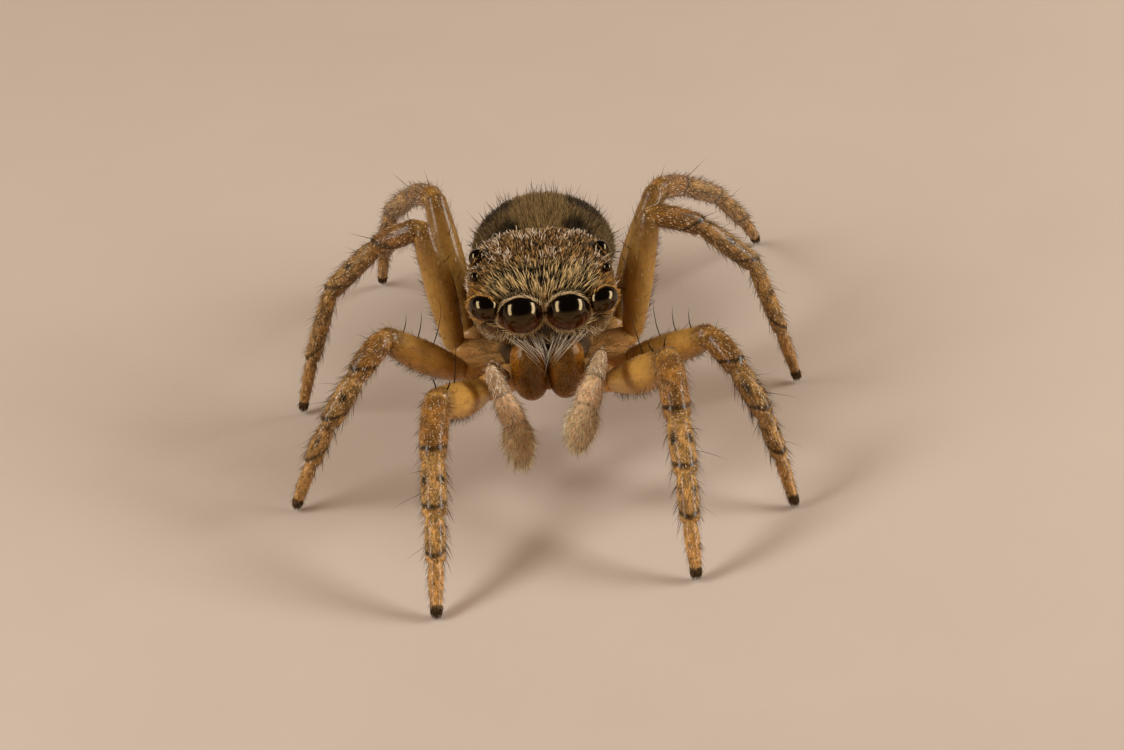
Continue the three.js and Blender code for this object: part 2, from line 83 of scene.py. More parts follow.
# The carapace from front to back, as pairs of a distance behind the face and a measure there.
CARAPACE_LENGTH = 2.66
ROOF_LINE = [
    (0, 0.31), (0.3, 0.43), (0.8, 0.55), (1.3, 0.66),
    (1.75, 0.67), (2.1, 0.43), (2.4, -0.08), (CARAPACE_LENGTH, -0.66),
]
FLANK_LINE = [
    (0, 0.73), (0.12, 0.87), (0.4, 1.04), (0.9, 1.11),
    (1.4, 1.12), (1.85, 1.04), (2.3, 0.78), (CARAPACE_LENGTH, 0.4),
]
MARGIN_LINE = [(0, -0.51), (0.3, -0.66), (0.9, -0.85), (1.7, -0.95), (CARAPACE_LENGTH, -0.9)]
TUCK_LINE = [(0, 0.22), (0.5, 0.18), (1, 0.1), (CARAPACE_LENGTH, 0.1)]
FLANK_LEVEL = -0.15
FLANK_SHARE = 0.55
SQUARENESS = {"face": 2.7, "rear": 2.1, "belly": 4.0, "from": 1.3}
# How far the face and the rear bulge, their shares of the shell's grid, and how far back the
# coat's depth is taken off the face.
FACE_BULGE = 0.06
FACE_SHARE = 0.14
REAR_SHARE = 0.05
FACE_DEPTH = 0.3

# Each eye on the left side: middle of the ball, radius, where it looks, the mound under it, the
# width and height of its lens as shares of the ball, how far the lens is shifted, how far from the
# ball the scales begin, how strongly its lower rim glows (a red-brown painted on the lens, partly
# its own colour and partly a painted reflection of the floor), and the grid round its lens.
EYES = {
    "anterior_median": {
        "centre": (0.345, 0.12, 0), "radius": 0.33, "axis": (0.04, -1, 0), "mound": -0.16,
        "lens": (1.01, 0.93), "shift": (0, 0, -0.018), "bare": -0.045,
        "glow": 1.0, "around": 96,
    },
    "anterior_lateral": {
        "centre": (0.89, 0.2, 0.085), "radius": 0.205, "axis": (0.5, -0.85, 0.1), "mound": -0.06,
        "lens": (1.2, 0.98), "shift": (-0.03, -0.01, -0.004), "bare": -0.005,
        "glow": 0.25, "around": 48,
    },
    "posterior_median": {
        "centre": (0.97, 0.72, 0.35), "radius": 0.075, "axis": (0.8, 0, 0.6), "mound": 0.03,
        "lens": (1, 1), "shift": (0, 0, 0), "bare": 0.05, "glow": 0.1, "around": 48,
    },
    "posterior_lateral": {
        "centre": (0.905, 1.25, 0.44), "radius": 0.135, "axis": (0.75, 0.1, 0.65), "mound": 0.05,
        "lens": (1, 1), "shift": (0, 0, 0), "bare": 0.05, "glow": 0.15, "around": 48,
    },
}
LENS_INSET = 0.005
MOUND_SPREAD = 1.4

# The breastplate and the waist, which ends at a place beside the abdomen's middle.
STERNUM_SIZE = (0.76, 0.98, 0.4)
STERNUM_INSET = 0.03
STERNUM_CENTRE = (0, 1.5, -1.08)
WAIST_FROM = (0, 2.3, -1.08)
WAIST_TO = (-0.02, -1.3, 0)
WAIST_THICK = (0.17, 0.15, 0.17)

ABDOMEN = {"length": 3.4, "width": 2.25, "height": 1.7, "pitch": 14, "centre": (0.05, 4.28, 1.22)}
ABDOMEN_OUTLINE = {"lean": 0.95, "blunt": 0.4, "taper": 0.12}
SPINNERET = {
    "length": 0.33, "sunk": 0.12, "apart": 0.08, "splay": 0.03, "levels": (0.03, -0.15),
    "thick": (0.09, 0.1, 0.06),
}

# Legs: segment lengths, bases and coxa roots (head's frame, left side), and the pose as
# (heading, pitch) of each segment. A tarsus has a heading only and slopes down to the floor.
FOOT_LIFT = 0.05
LEG_LENGTHS = {
    1: (1.82, 1.06, 0.93, 0.72, 0.82),
    2: (1.73, 0.71, 0.80, 0.66, 0.75),
    3: (1.95, 0.82, 1.06, 1.17, 0.86),
    4: (2.09, 0.91, 1.35, 1.38, 0.75),
}
LEG_BASES = {1: (0.98, 0.5, -1.36), 2: (1.25, 1.02, -1.25), 3: (1.32, 1.58, -1.11), 4: (1.14, 2.12, -1.11)}
COXA_ROOTS = {1: (0.4, 0.8, -1.24), 2: (0.45, 1.16, -1.24), 3: (0.45, 1.5, -1.24), 4: (0.4, 1.86, -1.24)}
LEG_POSES = {
    1: {
        "left": [(-59, 34), (-87, -23), (-87, -29), (-91, -41), (-86,)],
        "right": [(-67, 24), (-85, -19), (-88, -29), (-87, -35), (-86,)],
    },
    2: {
        "left": [(-40, 29), (-57, -23), (-60, -37), (-67, -49), (-67,)],
        "right": [(-37, 40), (-43, -31), (-36, -45), (-18, -61), (-21,)],
    },
    3: {
        "left": [(29, 77), (7, -22), (4, -45), (-14, -73), (-17,)],
        "right": [(43, 76), (17, -26), (7, -45), (-7, -71), (-16,)],
    },
    4: {
        "left": [(58, 49), (58, -22), (62, -33), (65, -44), (63,)],
        "right": [(72, 61), (67, -21), (69, -36), (76, -54), (74,)],
    },
}
LEGS = [(number, side_name) for number in LEG_LENGTHS for side_name in SIDES]
LEG_SEGMENTS = ("femur", "patella", "tibia", "metatarsus", "tarsus")
FEMUR, PATELLA, TIBIA, METATARSUS, TARSUS = range(1, 6)

# Half thickness of the skin at a segment's near end, fullest place and far end, where that place
# is, and how far the middle of the segment lifts (or sags, when negative).
LEG_SKIN = {
    "coxa": (0.2, 0.22, 0.19, 0.5, 0.0),
    "femur": (0.185, 0.275, 0.205, 0.45, 0.0),
    "patella": (0.205, 0.212, 0.195, 0.5, 0.02),
    "tibia": (0.172, 0.19, 0.176, 0.45, 0.0),
    "metatarsus": (0.14, 0.151, 0.142, 0.45, 0.0),
    "tarsus": (0.11, 0.11, 0.074, 0.35, 0.0),
}
LEG_THICKNESS = {1: 1.0, 2: 0.88, 3: 0.82, 4: 0.82}
FEMUR_ARCH = {1: -0.06, 2: -0.03, 3: 0.04, 4: 0.04}

# A limb's necks at its joints, and how smoothly it bends there and changes its thickness.
NECK_DEPTH = 0.15
NECK_LENGTH = 0.05
NECK_SHIFT = 0.03
PALP_NECK_DEPTH = 0.08
BEND_LENGTH = 0.075
BEND_SHARE = 0.2
SOFT_LENGTH = 0.012
TARSUS_SHORTER = 0.06

PALP_LENGTHS = (0.89, 0.45, 0.47, 0.66)
PALP_BASE = (0.63, 0.36, -1.12)
PALP_POSES = {
    "left": [(-74, 45), (-112, -32), (-112, -28), (-130, -62)],
    "right": [(-73, 39), (-135, -63), (-140, -62), (-105, -71)],
}
PALP_SKIN = {
    "femur": (0.1, 0.105, 0.09, 0.5, 0.0),
    "patella": (0.09, 0.122, 0.132, 0.6, 0.0),
    "tibia": (0.14, 0.166, 0.165, 0.55, 0.0),
    "tarsus": (0.18, 0.212, 0.1, 0.42, 0.0),
}

# The two claws of a foot: how far back, apart and up they start, the way to the bend and on to the
# point as (forwards, up), how near the floor the point comes, and the half thickness of both parts.
CLAW = {
    "back": 0.05, "apart": 0.022, "up": 0.012, "bend": (0.035, 0.008), "point": (0.022, -0.03),
    "lowest": 0.008, "thick": [(0.011, 0.011, 0.009, 0.5, 0), (0.009, 0.007, 0.003, 0.5, 0)],
}

# Jaws and mouthparts in the head's frame, with half thickness at the near end, middle and far end.
CHELICERA = {"place": (0.3, 0.24, -0.5), "end": (0.238, 0.24, -1.45), "thick": (0.228, 0.27, 0.205)}
FANG = {
    "place": (0.33, 0.36, -1.33), "way": (-0.93, 0.32, -0.17), "length": 0.22,
    "thick": (0.07, 0.055, 0.02),
}
LIP = ((0, 0.78, -1.22), (0, 0.5, -1.4), (0.14, 0.15, 0.11))
MAXILLA = ((0.26, 0.78, -1.2), (0.17, 0.42, -1.46), (0.15, 0.16, 0.14))


# ---------------------------------------------------------------- small tools for shapes

TINY = 1e-12


def unit(vectors):
    return vectors / np.maximum(np.linalg.norm(vectors, axis=-1, keepdims=True), TINY)


def smoothstep(low, high, values):
    """0 at low and before it, 1 at high and past it, with a smooth way between."""
    share = np.clip((values - low) / (high - low), 0, 1)
    return share * share * (3 - 2 * share)


def blend(first, second, share):
    share = np.asarray(share)[..., None]
    return np.asarray(first) * (1 - share) + np.asarray(second) * share


def profile(points):
    """A smooth curve through a few (distance, measure) pairs, as a function of the distance."""
    places, measures = np.array(points, float).T
    rates = np.gradient(measures, places)

    def at(where):
        where = np.clip(where, places[0], places[-1])
        i = np.clip(np.searchsorted(places, where) - 1, 0, len(places) - 2)
        step = places[i + 1] - places[i]
        t = (where - places[i]) / step
        start = (1 + 2 * t) * (1 - t) ** 2 * measures[i] + t * (1 - t) ** 2 * step * rates[i]
        end = t * t * (3 - 2 * t) * measures[i + 1] - t * t * (1 - t) * step * rates[i + 1]
        return start + end

    return at


def turn_about(axis, degrees):
    return np.array(Matrix.Rotation(math.radians(degrees), 3, axis))


HEAD_TURN = turn_about("Z", HEAD_YAW) @ turn_about("X", -HEAD_PITCH) @ turn_about("Y", HEAD_ROLL)


def box_middle(node):
    low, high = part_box(node)
    return np.array((low + high) / 2) / MM


def head_origin():
    """Where the head's frame starts: midway between the big front eyes, on the face."""
    balls = (box_middle("eye_anterior_median_left") + box_middle("eye_anterior_median_right")) / 2
    depth = EYES["anterior_median"]["centre"][1]
    return balls - HEAD_TURN @ np.array([0, depth, 0])


HEAD_ORIGIN = head_origin()
SPIDER_ORIGIN = HEAD_ORIGIN - np.array([0, 0, EYE_HEIGHT])


def from_head(points):
    return np.asarray(points, float) @ HEAD_TURN.T + HEAD_ORIGIN


def to_head(points):
    return (points - HEAD_ORIGIN) @ HEAD_TURN


def mirrored(point, side):
    return np.asarray(point, float) * np.array([side, 1, 1])


# ---------------------------------------------------------------- surfaces
#
# A surface is a function of (u, v) arrays, both from 0 to 1, that gives points in mm. u runs round
# from the underside over the left side to the back, and v runs along the piece.

class Shell:
    """The head and thorax: an arched shell, closed by a bulging face and a narrow rear."""

    def __init__(self, inset):
        self.inset = inset
        self.roof = profile(ROOF_LINE)
        self.flank = profile(FLANK_LINE)
        self.margin = profile(MARGIN_LINE)
        self.tuck = profile(TUCK_LINE)

    def in_head(self, u, v):
        """Points in the head's own frame."""
        front = np.clip(v / FACE_SHARE, 0, 1)
        rear = np.clip((1 - v) / REAR_SHARE, 0, 1)
        y = np.clip((v - FACE_SHARE) / (1 - FACE_SHARE - REAR_SHARE), 0, 1) * CARAPACE_LENGTH
        half = self.flank(y) - self.inset
        roof = self.roof(y) - self.inset
        margin = self.margin(y) + self.inset
        flank = np.minimum(FLANK_LEVEL, margin + (roof - margin) * FLANK_SHARE)
        angle = 2 * np.pi * u
        across = np.sin(angle)
        up = -np.cos(angle)
        rearwards = smoothstep(SQUARENESS["from"], CARAPACE_LENGTH, y)
        square = SQUARENESS["face"] + (SQUARENESS["rear"] - SQUARENESS["face"]) * rearwards
        square = np.where(up > 0, square, SQUARENESS["belly"])
        wide = np.sign(across) * np.abs(across) ** (2 / square)
        high = np.abs(up) ** (2 / square)
        x = half * wide * np.where(up > 0, 1, 1 - self.tuck(y) * high)
        z = np.where(up > 0, flank + (roof - flank) * high, flank - (flank - margin) * high)
        middle = (roof + margin) / 2
        share = np.sin(np.minimum(front, 1) * np.pi / 2) * np.sin(np.minimum(rear, 1) * np.pi / 2)
        behind = np.where(rear < 1, 1 - rear ** 2, 0)
        before = np.where(front < 1, 1 - share ** 4, 0)
        bulge = FACE_BULGE * (behind - before)
        back = y + bulge + self.inset * (1 - smoothstep(0, FACE_DEPTH, y))
        return np.stack([x * share, back, middle + (z - middle) * share], -1)

    def __call__(self, u, v):
        points = self.in_head(u, v)
        for side in SIDES.values():
            for eye in EYES.values():
                away = np.linalg.norm(points - mirrored(eye["centre"], side), axis=-1)
                rise = eye["mound"] * np.exp(-((away / (MOUND_SPREAD * eye["radius"])) ** 2))
                points = points + rise[..., None] * unit(mirrored(eye["axis"], side))
        return from_head(points)


class Ball:
    """A ball or an egg with half sizes, with its poles in front and behind."""

    def __init__(self, centre, half, axis=(0, 1, 0)):
        self.centre = np.asarray(centre, float)
        self.half = np.asarray(half, float) * np.ones(3)
        way = unit(np.asarray(axis, float))
        across = unit(np.cross(way, UP))
        self.turn = np.stack([across, way, np.cross(across, way)], 1)

    def __call__(self, u, v):
        return self.round_points(u, -np.cos(np.pi * v), np.sin(np.pi * v))

    def round_points(self, u, along, thick):
        angle = 2 * np.pi * u
        local = np.stack([np.sin(angle) * thick, along, -np.cos(angle) * thick], -1)
        return (local * self.half) @ self.turn.T + self.centre


class Egg(Ball):
    """The abdomen, fullest a little before its middle."""

    def __init__(self, inset):
        self.half = np.array([ABDOMEN[size] for size in ("width", "length", "height")]) / 2 - inset
        self.turn = turn_about("X", -ABDOMEN["pitch"])
        self.centre = SPIDER_ORIGIN + np.array(ABDOMEN["centre"])

    def __call__(self, u, v):
        along = (1 - np.cos(np.pi * v)) / 2
        power = ABDOMEN_OUTLINE["blunt"] + ABDOMEN_OUTLINE["taper"] * along
        thick = np.maximum(np.sin(np.pi * along ** ABDOMEN_OUTLINE["lean"]), 0) ** power
        return self.round_points(u, 2 * along - 1, thick)

    def place(self, point):
        """A point of the abdomen's own frame, put in the model's frame."""
        return self.turn @ np.asarray(point, float) + self.centre


class Tube:
    """A round limb along joints, bent smoothly at each joint and necked in there.

    Each segment has (near, belly, far, full, arch): half thickness at the near end, at the
    fullest place and at the far end, where that place is, and how far the middle lifts.
    """

    SAMPLES = 1200
    SMOOTH_REACH = 4

    def __init__(self, joints, segments, neck=NECK_DEPTH):
        joints = np.asarray(joints, float)
        steps = np.linalg.norm(np.diff(joints, axis=0), axis=1)
        ends = np.concatenate([[0], np.cumsum(steps)])
        self.length, self.ends, self.steps = ends[-1], ends, steps
        run = np.linspace(0, self.length, self.SAMPLES)
        line = np.stack([np.interp(run, ends, joints[:, i]) for i in range(3)], 1)
        bend = min(BEND_LENGTH, BEND_SHARE * steps.min())
        line = self._rounded(line, bend / self.length * self.SAMPLES)
        segment = np.clip(np.searchsorted(ends, run, side="right") - 1, 0, len(segments) - 1)
        place = np.clip((run - ends[segment]) / steps[segment], 0, 1)
        sizes = np.array(segments)
        thick = np.zeros(self.SAMPLES)
        lift = np.zeros(self.SAMPLES)
        for i, (near, belly, far, full, arch) in enumerate(sizes):
            mine = segment == i
            t = place[mine]
            thick[mine] = profile([(0, near), (full, belly), (1, far)])(t)
            lift[mine] = arch * np.sin(np.pi * t)
        soft = min(SOFT_LENGTH, BEND_SHARE * steps.min())
        thick = self._rounded(thick[:, None], soft / self.length * self.SAMPLES)[:, 0]
        for end in ends[1:-1]:
            beyond = run - end - NECK_SHIFT
            thick = thick * (1 - neck * np.exp(-((beyond / NECK_LENGTH) ** 2)))
        way = unit(np.gradient(line, axis=0))
        across = unit(np.cross(way, UP))
        back = np.cross(across, way)
        line = line + lift[:, None] * back
        tip = np.minimum((self.length - run) / sizes[-1][2], 1)
        root = np.minimum(run / sizes[0][0], 1)
        self.thick = thick * np.sqrt(np.maximum((2 - tip) * tip * (2 - root) * root, 0))
        self.line, self.way, self.across, self.back = line, way, across, back

    def _rounded(self, values, width):
        """Values smoothed along the line, with both ends kept."""
        reach = int(self.SMOOTH_REACH * width) + 1
        weights = np.exp(-0.5 * (np.arange(-reach, reach + 1) / width) ** 2)
        weights /= weights.sum()
        before = 2 * values[0] - values[reach:0:-1]
        after = 2 * values[-1] - values[-2:-reach - 2:-1]
        padded = np.concatenate([before, values, after])
        smooth = [np.convolve(padded[:, i], weights, "valid") for i in range(values.shape[1])]
        return np.stack(smooth, 1)

    def at(self, values, v):
        """Values along the line, read at shares of its length."""
        place = np.clip(v, 0, 1) * (self.SAMPLES - 1)
        low = np.clip(place.astype(int), 0, self.SAMPLES - 2)
        share = place - low
        if values.ndim == 2:
            share = share[..., None]
        return values[low] * (1 - share) + values[low + 1] * share

    def where(self, v):
        """Segment number and place along that segment."""
        place = np.clip(v, 0, 1) * self.length
        segment = np.clip(np.searchsorted(self.ends, place, side="right") - 1, 0, len(self.steps) - 1)
        return segment, np.clip((place - self.ends[segment]) / self.steps[segment], 0, 1)

    def __call__(self, u, v):
        angle = (2 * np.pi * u)[..., None]
        thick = self.at(self.thick, v)[..., None]
        ring = np.sin(angle) * self.at(self.across, v) - np.cos(angle) * self.at(self.back, v)
        return self.at(self.line, v) + ring * thick


def direction(side, heading, pitch):
    level = math.cos(math.radians(pitch))
    return np.array([
        side * level * math.cos(math.radians(heading)),
        level * math.sin(math.radians(heading)),
        math.sin(math.radians(pitch)),
    ])


def limb_joints(base, lengths, pose, side):
    """The joints of a limb. A last segment without a pitch slopes down to the floor."""
    joints = [np.asarray(base, float)]
    for (heading, *pitch), length in zip(pose, lengths):
        drop = math.asin(min((joints[-1][2] - FOOT_LIFT) / length, 1)) if not pitch else 0
        slope = pitch[0] if pitch else -math.degrees(drop)
        joints.append(joints[-1] + direction(side, heading, slope) * length)
    return joints


def leg_tube(number, side_name):
    side = SIDES[side_name]
    base = from_head(mirrored(LEG_BASES[number], side))
    root = from_head(mirrored(COXA_ROOTS[number], side))
    joints = limb_joints(base, LEG_LENGTHS[number], LEG_POSES[number][side_name], side)
    toe = unit(joints[-2] - joints[-1])
    joints[-1] = joints[-1] + toe * TARSUS_SHORTER
    scale = LEG_THICKNESS[number]
    segments = []
    for segment in ("coxa",) + LEG_SEGMENTS:
        near, belly, far, full, arch = LEG_SKIN[segment]
        arch = FEMUR_ARCH[number] if segment == "femur" else arch
        segments.append((near * scale, belly * scale, far * scale, full, arch))
    return Tube([root] + joints, segments)


def palp_tube(side_name):
    side = SIDES[side_name]
    base = from_head(mirrored(PALP_BASE, side))
    joints = limb_joints(base, PALP_LENGTHS, PALP_POSES[side_name], side)
    return Tube(joints, list(PALP_SKIN.values()), neck=PALP_NECK_DEPTH)


def rod(start, end, near, belly, far):
    return Tube([start, end], [(near, belly, far, 0.5, 0)], neck=0)


# ---------------------------------------------------------------- meshes

def sheet_over(surface, grid, paint, patch=WHOLE_PATCH):
    """A grid (around, along) wrapped round a surface, painted, with its map in a patch."""
    flat = bmesh.new()
    flat.loops.layers.uv.new(BAKE_MAP)
    bmesh.ops.create_grid(flat, x_segments=grid[0], y_segments=grid[1], size=0.5, calc_uvs=True)
    mesh = bpy.data.meshes.new("sheet")
    flat.to_mesh(mesh)
    flat.free()
    places = np.empty(len(mesh.vertices) * 3)
    mesh.vertices.foreach_get("co", places)
    u, v = places.reshape(-1, 3)[:, :2].T + 0.5
    points = surface(u, v)
    mesh.vertices.foreach_set("co", (points * MM).ravel())
    set_markings(mesh, paint(u, v, points))
    layer = mesh.uv_layers[BAKE_MAP]
    spots = np.empty(len(layer.data) * 2)
    layer.data.foreach_get("uv", spots)
    left, low, wide, high = patch
    spots = spots.reshape(-1, 2) * (wide, high) + (left, low)
    layer.data.foreach_set("uv", spots.ravel())
    return mesh


def set_markings(mesh, colours):
    """Paints each point. A fourth number says how grainy the skin is there."""
    layer = mesh.attributes.new(MARKINGS, "FLOAT_COLOR", "POINT")
    full = np.ones((len(colours), 4))
    full[:, :colours.shape[1]] = colours
    layer.data.foreach_set("color", full.ravel())


def joined(name, sheets):
    """One closed mesh from wrapped grids, its seams and poles welded and its faces outwards."""
    whole = bmesh.new()
    for sheet in sheets:
        whole.from_mesh(sheet)
        bpy.data.meshes.remove(sheet)
    bmesh.ops.remove_doubles(whole, verts=whole.verts, dist=WELD)
    bmesh.ops.recalc_face_normals(whole, faces=whole.faces)
    for face in whole.faces:
        face.smooth = True
    mesh = bpy.data.meshes.new(name)
    whole.to_mesh(mesh)
    whole.free()
    return mesh


def new_piece(name, mesh, material, nodes=()):
    piece = bpy.data.objects.new(name, mesh)
    bpy.context.scene.collection.objects.link(piece)
    mesh.materials.append(material)
    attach(piece, BODY)
    if nodes:
        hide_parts(*nodes)


def skin_piece(name, sheets, material, nodes=()):
    new_piece(name, joined(name, sheets), material, nodes)


def coat_piece(name, groups, material):
    new_piece(name, hair_mesh(name, groups), material)


# ---------------------------------------------------------------- hair

HAIR_SIDES = 3
# How wide and high a hair is on the map, and the lowest that any of it reaches (mm).
HAIR_PATCH = 0.003
HAIR_FLOOR = 0.001
# Added to normals, so that a hair that stands straight up still has a width.
NUDGE = 1e-3
# Limits of a hair's lift (degrees), and of its length and width as shares of the usual.
LIFT_LIMITS = (2, 88)
LENGTH_LIMITS = (0.5, 1.6)
WIDTH_LIMITS = (0.6, 1.5)
# Cells that roots are spread over, round and along a surface, and the margin left at its poles.
CELLS = (160, 160)
LIMB_CELLS = (40, 500)
POLE_MARGIN = 1e-3

# Shapes of a hair as (share of its length, share of its width), from the root on to a pointed tip.
SPIKE = ((0, 1.0), (0.5, 0.72))
SCALE = ((0, 0.55), (0.35, 1.0), (0.72, 0.75))
BRISTLE = ((0, 1.0), (0.3, 0.85), (0.65, 0.5))

# A layer of the coat: the shape of its hairs, their length and width (mm, or a share of the chosen
# length that they are of), how much both vary, their thickness as a share of the width, how bright
# the root is beside the tip, how far they lift off the skin and spread (degrees), how much they
# droop, how many there are, and the seed of their draws.
Layer = namedtuple(
    "Layer", "shape length width vary thick root lift spread droop count seed of",
    defaults=(1.0, 0, 0, 0.0, 0, 0, None))
LAYERS = {
    "pale scales": Layer(SCALE, 1.0, 0.0125, 0.2, 0.5, 0.6, 12, 9, 0.5, 4900, 11, "scale"),
    "dark scales": Layer(SCALE, 1.0, 0.014, 0.22, 0.6, 1.0, 12, 10, 0.5, 5200, 17, "scale"),
    "flank scales": Layer(SCALE, 0.085, 0.0105, 0.25, 0.5, 0.6, 14, 16, 0.5, 1300, 19),
    "crown hair": Layer(SCALE, 0.1, 0.0145, 0.3, 0.5, 0.7, 32, 26, 0.4, 520, 23),
    "brow bristles": Layer(BRISTLE, 0.24, 0.0095, 0.3, 0.9, 1.0, 42, 18, 0.3, 130, 29),
    "rim hair": Layer(SPIKE, 1.0, 0.0095, 0.25, 0.7, 0.75, of="fringe"),
    "socket hair": Layer(SPIKE, 1.0, 0.0105, 0.2, 0.6, 0.6, 12, 12, 0.5),
    "beard": Layer(SPIKE, 1.0, 0.009, 0.1, 0.9, 0.7, count=26, seed=3),
    "clypeus hair": Layer(SPIKE, 0.125, 0.0075, 0.3, 0.8, 0.7, 30, 14, 0.35, 100, 4),
    "cheek hair": Layer(SPIKE, 0.11, 0.0075, 0.25, 0.7, 1.0, 22, 14, 0.4, 38, 5),
    "lashes": Layer(BRISTLE, 0.3, 0.0105, 0.2, 0.9, count=4000, seed=6),
    "jaw hair": Layer(SPIKE, 0.1, 0.006, 0.3, 0.9, 0.7, 24, 16, 0.3, 110, 7),
    "abdomen fur": Layer(SPIKE, 1.0, 0.0125, 0.25, 0.6, 0.7, 22, 13, 0.4, 15000, 41, "abdomen_hair"),
    "abdomen bristles": Layer(BRISTLE, 2.0, 0.0095, 0.25, 0.9, 0.6, 42, 14, 0.2, 620, 43, "abdomen_hair"),
    "leg hair": Layer(SPIKE, 1.2, 0.0052, 0.3, 0.9, 1.0, 34, 10, 0.25, 800, 1, "leg_hair"),
    "leg scales": Layer(SCALE, 0.042, 0.0125, 0.3, 0.5, 0.9, 14, 14, 0.5, 300, 2),
    "thigh fringe": Layer(SPIKE, 0.125, 0.005, 0.25, 0.9, 1.0, 62, 12, 0.2, 800, 3),
    "golden hair": Layer(SPIKE, 0.55, 0.005, 0.3, 0.9, 1.0, 24, 12, 0.3, 900, 7, "leg_hair"),
    "spines": Layer(BRISTLE, 1.0, 1.0, 0.08, 1.0, spread=5),
    "claw tuft": Layer(SPIKE, 0.078, 0.0064, 0.25, 0.8, 0.8, count=420, seed=8),
    "palp hair": Layer(SPIKE, 1.0, 0.0054, 0.25, 0.9, 0.8, 28, 12, 0.15, 2800, 0, "palp_hair"),
    "palp scales": Layer(SCALE, 0.075, 0.012, 0.35, 0.5, 1.0, 22, 18, 0.4, 230, 1),
    "palp edge": Layer(SPIKE, 1.2, 0.0054, 0.2, 0.9, 1.0, 52, 11, 0.2, 460, 2, "palp_hair"),
}


class Hairs:
    """Solid hairs as arrays: roots and normals in mm, a lie along the skin, and their looks."""

    def __init__(self, layer, root, normal, uv, seed=0):
        self.layer = layer
        self.root, self.normal, self.uv = root, normal, uv
        self.rng = np.random.default_rng(seed)
        self.count = len(root)

    def lie(self, flow, lift=None, droop=None):
        """Points the hairs along flow, with the layer's lift, spread and droop unless others are given."""
        lift = self.layer.lift if lift is None else lift
        droop = self.layer.droop if droop is None else droop
        flow = unit(flow - np.sum(flow * self.normal, -1, keepdims=True) * self.normal)
        side = np.cross(self.normal, flow)
        swing = np.radians(self.rng.normal(0, self.layer.spread, self.count))[:, None]
        flow = flow * np.cos(swing) + side * np.sin(swing)
        rise = lift + self.rng.normal(0, self.layer.spread / 2, self.count)
        rise = np.radians(np.clip(rise, *LIFT_LIMITS))[:, None]
        self.start = flow * np.cos(rise) + self.normal * np.sin(rise)
        self.end = unit(blend(self.start, flow, droop * np.ones(self.count)))

    def size(self, longer=1.0, wider=1.0):
        """The layer's length and width times two factors, each hair varied a little."""
        layer = self.layer
        length = layer.length * longer * (coat(layer.of) if layer.of else 1)
        self.length = length * self.rng.normal(1, layer.vary, self.count).clip(*LENGTH_LIMITS)
        width = layer.width * wider
        self.width = width * self.rng.normal(1, layer.vary / 2, self.count).clip(*WIDTH_LIMITS)

    def colour(self, tip, root=None):
        """The tip's colour, and the root's, which is a share of it unless it is given."""
        tip = np.asarray(tip) * np.ones((self.count, 3))
        self.tip_colour = tip
        self.root_colour = self.layer.root * tip if root is None else root * np.ones((self.count, 3))

    def tones(self, first, second, least=0.0, most=1.0, power=1):
        """A colour between two for each hair."""
        return blend(first, second, self.rng.uniform(least, most, self.count) ** power)

    def dress(self, flow, tip, root=None, longer=1.0):
        """Lays, sizes and colours the hairs. The tip may be a function that draws its colours last."""
        self.lie(flow)
        self.size(longer)
        self.colour(tip() if callable(tip) else tip, root)


def hair_mesh(name, groups):
    """One mesh of closed tapering hairs."""
    points, spots, tones, faces = [], [], [], []
    total = 0
    angle = 2 * np.pi * np.arange(HAIR_SIDES) / HAIR_SIDES + np.pi / 6
    over, aside = np.cos(angle)[:, None], np.sin(angle)[:, None]
    for hairs in groups:
        places, widths = np.array(hairs.layer.shape).T
        s = np.append(places, 1.0)[:, None]
        start, end = hairs.start[:, None], hairs.end[:, None]
        line = s * start + 0.5 * s ** 2 * (end - start)
        middle = hairs.root[:, None] + hairs.length[:, None, None] * line
        way = unit(start + s * (end - start))
        wide = unit(np.cross(way, hairs.normal[:, None] + NUDGE))
        thick = hairs.layer.thick * np.cross(way, wide)
        ring = over * wide[:, :-1, None] + aside * thick[:, :-1, None]
        half = (hairs.width[:, None] * widths / 2)[..., None, None]
        walls = (middle[:, :-1, None] + half * ring).reshape(hairs.count, -1, 3)
        points.append(np.concatenate([walls, middle[:, -1:]], 1).reshape(-1, 3))
        corners = np.arange(HAIR_SIDES) / (HAIR_SIDES - 1) - 0.5
        patch = [(corner, place - 0.5) for place in places for corner in corners] + [(0, 0.5)]
        spots.append((hairs.uv[:, None] + HAIR_PATCH * np.array(patch)).reshape(-1, 2))
        share = np.append(np.repeat(places, HAIR_SIDES), 1.0)[:, None]
        tone = hairs.root_colour[:, None] * (1 - share) + hairs.tip_colour[:, None] * share
        tones.append(tone.reshape(-1, 3))
        first = total + len(share) * np.arange(hairs.count)[:, None, None]
        faces.append((first + hair_faces(len(places))[None]).reshape(-1, 3))
        total += hairs.count * len(share)
    points, spots, tones, faces = map(np.concatenate, (points, spots, tones, faces))
    points[:, 2] = np.maximum(points[:, 2], HAIR_FLOOR)
    return triangle_mesh(name, points, faces, spots, tones)


def hair_faces(rows):
    """The triangles of one hair: a closed root, walls and a pointed tip."""
    faces = [(0, 2, 1)]
    for row in range(rows - 1):
        for corner in range(HAIR_SIDES):
            a = row * HAIR_SIDES + corner
            b = row * HAIR_SIDES + (corner + 1) % HAIR_SIDES
            faces += [(a, b, b + HAIR_SIDES), (a, b + HAIR_SIDES, a + HAIR_SIDES)]
    last = (rows - 1) * HAIR_SIDES
    tip = rows * HAIR_SIDES
    faces += [(last + corner, last + (corner + 1) % HAIR_SIDES, tip) for corner in range(HAIR_SIDES)]
    return np.array(faces)


